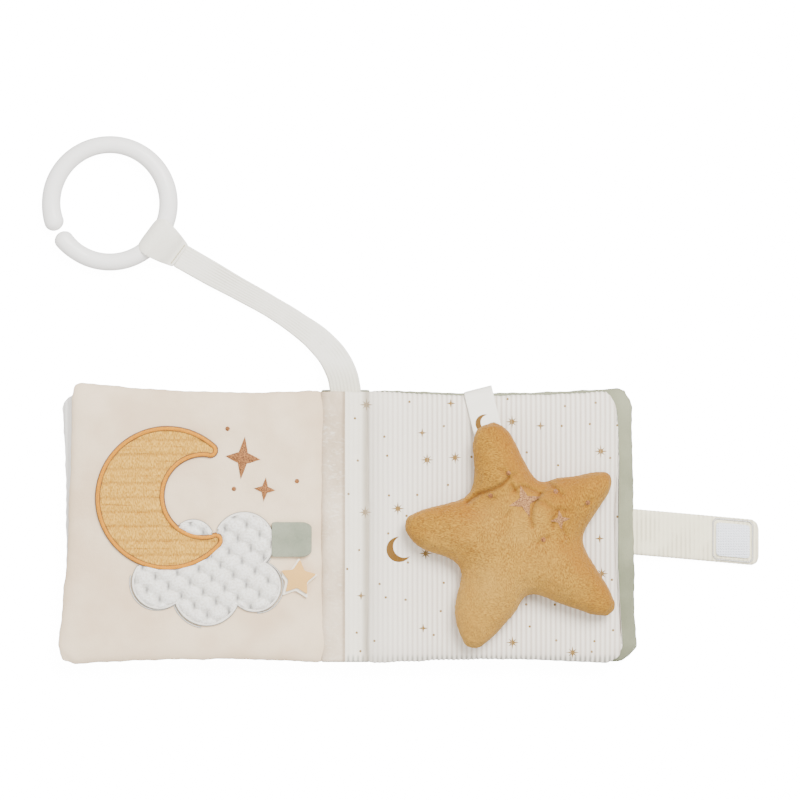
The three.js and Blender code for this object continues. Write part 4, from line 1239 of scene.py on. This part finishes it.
smooth(toy)
# How deep in a fold each point lies, which the plush finish paints as shade.
keep(toy, "fold", lambda v: folds.get(v.index, 0.0))
# Painted shade on the faces turned up and to the right, for the plush finish.
keep(toy, "side_shade", lambda v: clamp(v.normal.y * 0.9 + v.normal.x * 0.55 - 0.12))
dress(toy, "plush_star_toy", plush, star_nodes, "plush_star")

# %% Its embroidery
for name, x, y, half, tilt in (
        ("star_sparkle_large", 76, 11.3, 7.0, 16), ("star_sparkle_small", 90.9, 3.5, 4.2, 7)):
    star = drape(sparkle(x, y, half, half, 0.1 * MM, tilt), toy, 0)
    dress(star, name + "_stitches", rose_thread, [name], "plush_star")
for i, (x, y) in enumerate(((69.1, 23.2), (61.6, 13.6), (89.1, 15.4), (102.6, 10.7), (83.7, -4.8))):
    name = f"star_dot_{i + 1}"
    ball = drape(knot(x, y, 0.1 * MM), toy, 0)
    dress(ball, name + "_knot", copper_thread, [name], "plush_star")

# %% [markdown]
# ## Straps
# A strap is a flat padded band. It is made flat along X, as it is cut and sewn, with ribs across where
# it has any, and the Curve modifier then bends it along its course, a smooth curve through much the
# same points as in the CAD model. A strap that folds is then cut across into parts, so they meet
# exactly.

# %% A strap on its course


def strap(points, width, thickness, step, radii=None, rows=10, rib=0.0, rib_every=4, round_end=0.0):
    """A strap along a smooth curve through points, and its length, all in millimetres. Ribs run across
    it, one in so many columns, and radii make it wider or narrower."""
    curve, spline = new_curve("BEZIER", len(points))
    curve.twist_mode = "Z_UP"
    curve.resolution_u = 24
    for i, (knot_point, place) in enumerate(zip(spline.bezier_points, points)):
        knot_point.co = Vector(place) * MM
        knot_point.handle_left_type = knot_point.handle_right_type = "AUTO"
        knot_point.radius = radii[i] if radii else 1
    course = placed("course", curve)
    bpy.context.view_layer.update()
    length = spline.calc_length() / MM
    columns = max(4, round(length / step))
    band = made(bpy.ops.mesh.primitive_grid_add, (length * MM, width * MM, 1), size=1,
                x_subdivisions=columns, y_subdivisions=rows, location=(length / 2 * MM, 0, 0))
    for k in range(columns):
        away = round_end - k * length / columns
        if away <= 0:
            break
        half = width / 2 - round_end + math.sqrt(max(round_end**2 - away**2, 0))
        pick(band, lambda co: abs(co.x / MM - length * (1 - k / columns)) < 0.05)
        bpy.ops.transform.resize(value=(1, 2 * half / width, 1), center_override=(0, 0, 0))
        done()
    modify(band, "SOLIDIFY", thickness=(thickness - 2 * rib) * MM, offset=0)
    if rib:
        pick(band, lambda co: round(co.x / MM / length * columns) % rib_every in (1, 2))
        bpy.ops.transform.shrink_fatten(value=rib * MM)
        done()
    refine(band)
    keep(band, "across", lambda v: v.co.y / (width * MM))
    modify(band, "CURVE", object=course, deform_axis="POS_X")
    bpy.data.objects.remove(course)
    return smooth(band), length


def parts_of(band, cuts):
    """Cuts a strap across at planes, given as a place and a way along it, and returns the parts."""
    parts = []
    for k in range(len(cuts) + 1):
        part = placed("part", band.data.copy())
        sides = [(*cut, True) for cut in cuts[:k][-1:]] + [(*cut, False) for cut in cuts[k:][:1]]
        for place, way, inner in sides:
            pick(part)
            bpy.ops.mesh.bisect(plane_co=place, plane_no=way, use_fill=True, clear_inner=inner,
                                clear_outer=not inner)
            done()
        parts.append(smooth(part, 60))
    bpy.data.objects.remove(band)
    return parts


def slant(piece, x):
    """Shears a piece on the page as the closing strap is sewn on, a little askew. Nothing moves at x."""
    piece.data.transform(Matrix(((1, 0, 0, 0), (-0.09, 1, 0, 0.09 * x), (0, 0, 1, 0), (0, 0, 0, 1))))


# %% Closing strap
closing_y, closing_start = -2.1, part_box("closing_strap_root")[0].x / MM
closing_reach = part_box("closing_strap_tip")[1].x / MM + 1.6 - closing_start
strap_cord = corduroy("corduroy_strap", 1.9 * MM, 0.0, (253, 245, 214), (206, 197, 168), faded=0.75)
closing, _ = strap([(closing_start + out, closing_y, z) for out, z in (
    (0, 4.25), (8.7, 3.45), (17.3, 1.71), (24.7, 1.3), (36, 1.3), (closing_reach, 1.3))],
    19.7, 2.4, 0.475, rib=0.14, round_end=4)
slant(closing, closing_start * MM)
closing_base, closing_tip = parts_of(closing, [(((closing_start + 12) * MM, 0, 0.003), (1, 0, 0))])
for piece, name, node in ((closing_base, "closing_strap_base", "closing_strap_root"),
                          (closing_tip, "closing_strap_end", "closing_strap_tip")):
    dress(piece, name, strap_cord, [node])
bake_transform(closing_base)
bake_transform(closing_tip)

# %% Hook patch, its stitching, and the loop patch


def rounded_plate(low, high, rim, corner=1.5 * MM):
    plate, middle = block(low, high), (low + high) / 2
    pick(plate, lambda co: abs(co.z - middle.z) < 0.1 * MM, "EDGE")
    bpy.ops.mesh.bevel(offset=corner, segments=5, affect="EDGES")
    done()
    modify(plate, "BEVEL", width=rim, segments=2, limit_method="ANGLE", angle_limit=math.radians(60))
    modify(plate, "TRIANGULATE")
    return smooth(plate, 40)


hook_low, hook_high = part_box("hook_patch")
hook_low.x += 1.1 * MM
hook_high.x += 1.8 * MM
hook_middle, half_height = (hook_low + hook_high) / 2, Vector((0, 7.15 * MM, 0))
patch_low = Vector((hook_low.x, hook_middle.y, hook_low.z - 0.15 * MM)) - half_height
patch_high = Vector((hook_high.x, hook_middle.y, hook_high.z)) + half_height
hook = rounded_plate(patch_low, patch_high, 0.2 * MM)
cx, cy, cut = hook_middle.x / MM, hook_middle.y / MM, 1.4
square = [(cx + sx * 8.5 + dx, cy + sy * 8.7 + dy) for sx, sy, dx, dy in (
    (-1, -1, 0, cut), (-1, 1, 0, -cut), (-1, 1, cut, 0), (1, 1, -cut, 0), (1, 1, 0, -cut), (1, -1, 0, cut),
    (1, -1, -cut, 0), (-1, -1, cut, 0))]
sewing = satin_band(square, 0.8, 0.6, hook_low.z - 0.15 * MM, stitch=1.1, rib=0.1)
for piece in (hook, sewing):
    slant(piece, hook_middle.x)
dress(hook, "hook_patch_tape", tape, ["hook_patch"], "closing_strap_tip")
dress(sewing, "hook_patch_sewing", white_thread, ["hook_patch_stitching"],
      "closing_strap_tip")
loops = rounded_plate(*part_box("loop_patch"), 0.25 * MM)
dress(loops, "loop_patch_tape", tape, ["loop_patch"], "front_cover")

# %% Carrier strap
loop_angle = math.radians(-36.7)
ring_centre, ring_radius, ring_z = Vector((-100.7, 138.1)), 25.1, 4.9
loop_out = heading(loop_angle)
loop_end = ring_centre + loop_out * (ring_radius + 11.8)
soft_cord = velour("strap_velour", (247, 242, 226), (233, 224, 202), grain=0.16, pile=0.6)
# Painted shade: the strap is darker towards its root, and dark lines stand for the shade between its wales,
# in patches and near the root.
root = 1 - soft_cord.ramp(soft_cord.at.axis("Y"), 60 * MM, 73 * MM)
wales = wave(soft_cord.attribute("across"), 0.11) ** 2
streaks = wales * soft_cord.patchy(0.4, 0.7, 0.03).most(root * 0.8)
cloth = soft_cord.mix(soft_cord.noise(0.6 * MM), (240, 235, 220), (253, 250, 240))
cloth = soft_cord.mix(root * 0.5, cloth, (206, 202, 176))
soft_cord.wear(soft_cord.mix(streaks * 0.75, cloth, (200, 194, 172)))
carrier, _ = strap([
    (0, 46, 10.75), (0, 52, 10.75), (0, 58.7, 10.75), (-3, 68.7, 6.69), (-10.2, 78.3, 2.34),
    (-20.4, 86.5, 1.3), (-31.5, 93.7, 1.3), (-46.3, 102, 1.3), (-57.4, 108.2, 1.3),
    (loop_end.x, loop_end.y, 1.7)], 12.8, 2.4, 1.2, rows=8,
    radii=[1.04, 1.04, 1.05, 1.02, 0.93, 0.8, 0.74, 0.77, 0.84, 0.86])
carriers = parts_of(carrier, [((-0.0102, 0.0783, 0.002), (-0.78, 0.63, 0)),
                              ((-0.0513, 0.1048, 0.0013), (-0.857, 0.515, 0))])
for piece, name, node in zip(carriers, ("root", "middle", "end"), ("anchor", "lower", "upper")):
    dress(piece, "carrier_strap_" + name, soft_cord, ["carrier_strap_" + node])
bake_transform(carriers[0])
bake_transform(carriers[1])
last, inward = Vector((loop_end.x * MM, loop_end.y * MM, 0.0017)), loop_out.to_3d()
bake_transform(carriers[2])

# %% [markdown]
# ## Ring and its loop
# The ring is an open plastic hoop that springs over a pram's bar. A small circle is spun about the
# ring's middle, which leaves a gap between its two ends, and the ends are closed round. The strap's end
# goes round the hoop and is sewn to itself: it is a thin cloth bent round the tube, with the stitches
# laid over it.

# %% The ring
gap_angle, gap, tube = math.radians(208.6), 1.3 / ring_radius, 3.7
start_angle = gap_angle + gap / 2 + tube / ring_radius
sweep = 2 * math.pi - gap - 2 * tube / ring_radius
hub = Vector((ring_centre.x, ring_centre.y, ring_z)) * MM


def tube_middle(turn):
    """The middle of the tube at a turn from its start."""
    return hub + heading(start_angle + turn).to_3d() * ring_radius * MM


def turn_of(co):
    return (math.atan2(co.y - hub[1], co.x - hub[0]) - start_angle + 0.1) % (2 * math.pi) - 0.1


ring = made(bpy.ops.mesh.primitive_circle_add, vertices=24, radius=tube * MM, location=tube_middle(0),
            rotation=(math.pi / 2, 0, start_angle))
pick(ring)
bpy.ops.mesh.spin(steps=110, angle=-sweep, center=hub, axis=(0, 0, 1))
done()
turns = sorted({round(turn_of(v.co), 4) for v in ring.data.vertices})
low_turn, high_turn = turns[0], turns[-1]
for turn, way in ((low_turn, -1), (high_turn, 1)):
    angle = start_angle + turn
    forward = Vector((-math.sin(angle), math.cos(angle), 0)) * way
    pick(ring, lambda co: abs(turn_of(co) - turn) < 0.01)
    reach, size = 0, 1
    for step in range(1, 7):
        a = step / 6 * math.pi / 2
        next_reach, next_size = tube * MM * math.sin(a), max(math.cos(a), 0.02)
        bpy.ops.mesh.extrude_region_move(
            TRANSFORM_OT_translate={"value": forward * (next_reach - reach)})
        share = next_size / size
        bpy.ops.transform.resize(value=(share, share, share),
                                 center_override=tube_middle(turn) + forward * next_reach)
        reach, size = next_reach, next_size
    bpy.ops.mesh.merge(type="CENTER")
pick(ring)
bpy.ops.mesh.remove_doubles(threshold=1e-6)
bpy.ops.mesh.normals_make_consistent(inside=False)
done()
for vertex in ring.data.vertices:
    turn = turn_of(vertex.co)
    from_end = min(abs(turn - low_turn), abs(turn - high_turn))
    fuller = 1 + 0.08 * math.cos(start_angle + turn) ** 2 + 0.07 * max(0, 1 - from_end / 0.3)
    vertex.co = tube_middle(turn) + (vertex.co - tube_middle(turn)) * fuller
smooth(ring)
dress(ring, "link_ring_hoop", plastic, ["link_ring"], "link_ring")

# %% The loop of strap round it
hole, cloth_thickness, tail_z = tube + 0.4 + 0.75, 0.8, 1.7 - ring_z
bent = [(12.6, tail_z - 1.35), (9.6, tail_z - 1.35)]
bent += [(hole * math.cos(a), hole * math.sin(a)) for a in
         (math.radians(-60 - 240 * i / 16) for i in range(17))]
bent += [(7.6, 2.1), (9.6, tail_z + 1.6), (12.6, tail_z + 1.35)]
across = Vector((-loop_out.y, loop_out.x))
wrapper = made(bpy.ops.mesh.primitive_grid_add, x_subdivisions=len(bent) - 1, y_subdivisions=10, size=1)
for vertex in wrapper.data.vertices:
    out, up = bent[round((vertex.co.x + 0.5) * (len(bent) - 1))]
    side = vertex.co.y * 13
    taper = clamp((out - 4.9) / 6.9)
    bend = (math.sqrt(ring_radius**2 - side**2) - ring_radius) * (1 - taper)
    side *= (17.4 + (11.6 - 17.4) * taper) / 13
    if out < 0:
        bend += 1.7 * abs(vertex.co.y * 2) ** 3
    flat = ring_centre + loop_out * (ring_radius + out + bend) + across * side
    vertex.co = Vector((flat.x, flat.y, ring_z + up)) * MM
keep(wrapper, "across", lambda v: 0.0)
modify(wrapper, "SOLIDIFY", thickness=cloth_thickness * MM, offset=0)
refine(wrapper, 2)
smooth(wrapper)
dress(wrapper, "ring_loop_cloth", soft_cord, ["ring_loop"], "ring_loop")

# %% Stitches that close the loop
stitches = []
for k in range(7):
    place = ring_centre + loop_out * (ring_radius + 11.2) + across * ((k - 3) * 1.45)
    stitches.append(made(bpy.ops.mesh.primitive_uv_sphere_add, (0.55, 1.35, 0.5), segments=12, ring_count=8,
                         radius=0.5 * MM, rotation=(0, 0, loop_angle), location=(place * MM).to_3d()))
seam = drape(joined(stitches), wrapper, -0.1 * MM)
smooth(seam)
dress(seam, "ring_loop_sewing", cream_thread, ["ring_loop_stitching"], "ring_loop")

# %% [markdown]
# ## Ribbon
# A strip of satin ribbon is sewn into the head of the star page, comes over its edge and holds the
# star's upper tip. It is a strap with hardly any thickness.

# %% The ribbon
ribbon, ribbon_length = strap([
    (56.4, 58.8, 13.4), (56.7, 57.6, 16.0), (57.4, 54.3, 17.4), (58.5, 49.8, 18.2), (60.7, 40.6, 23.0)],
    12.3, 0.4, 0.9, rows=8)
dress(ribbon, "satin_ribbon_strip", satin, ["ribbon"])
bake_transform(ribbon)

# %% [markdown]
# ## Spine
# Between the leaves lie two margins, the inner edges of the two pages sewn flat, and under them a strip
# of sage cloth joins the covers. Margins are thin and a little humped, and the narrow web inside ties
# margins and strip together.

# %% Margins, wrap and web


def strip(node, cuts, wider=0.0, hump=0.0, uneven=0.0):
    """A soft-edged strip in a node's box, or wider than it, and higher along its middle."""
    low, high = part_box(node)
    low, high = low - Vector((wider, 0, 0)), high + Vector((wider, 0, hump * 0.7))
    piece, middle = block(low, high), (low + high) / 2
    for axis, count in enumerate(cuts):
        for k in range(1, count):
            place = list(low)
            place[axis] = low[axis] + (high[axis] - low[axis]) * k / count
            pick(piece)
            bpy.ops.mesh.bisect(plane_co=place, plane_no=[float(i == axis) for i in range(3)])
    done()
    for vertex in piece.data.vertices:
        if vertex.co.z > middle.z:
            off = (vertex.co.x - middle.x) / (high.x - low.x) * 2
            vertex.co.z += hump * math.cos(off * math.pi / 2)
    refine(piece)
    fit(piece, low, high)
    if uneven:
        roughen(piece, "uneven", 0.009, uneven)
        roughen(piece, "uneven", 0.0035, uneven * 0.5)
    # Near 1 along the strip's long sides, where the velour margin's finish paints shade in the seams.
    keep(piece, "seam", lambda v: max(0, 1 - min(v.co.x - low.x, high.x - v.co.x) / (4.2 * MM)) ** 2)
    return smooth(piece)


for node, finish, slot, body in (("velour_margin", margin_velour, "velour", "moon_page"),
                                 ("corduroy_margin", margin_cord, "corduroy", "star_page")):
    margin = strip(node, (10, 60, 2), wider=1.7 * MM, hump=2.2 * MM, uneven=0.7 * MM)
    dress(margin, node + "_strip", finish, [node], body)
spine = strip("spine_wrap", (16, 30, 1))
dress(spine, "spine_wrap_cloth", sage, ["spine_wrap"])
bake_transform(spine)
web = strip("spine_web", (1, 20, 4))
dress(web, "spine_web_cloth", wadding, ["spine_web"], "moon_page")
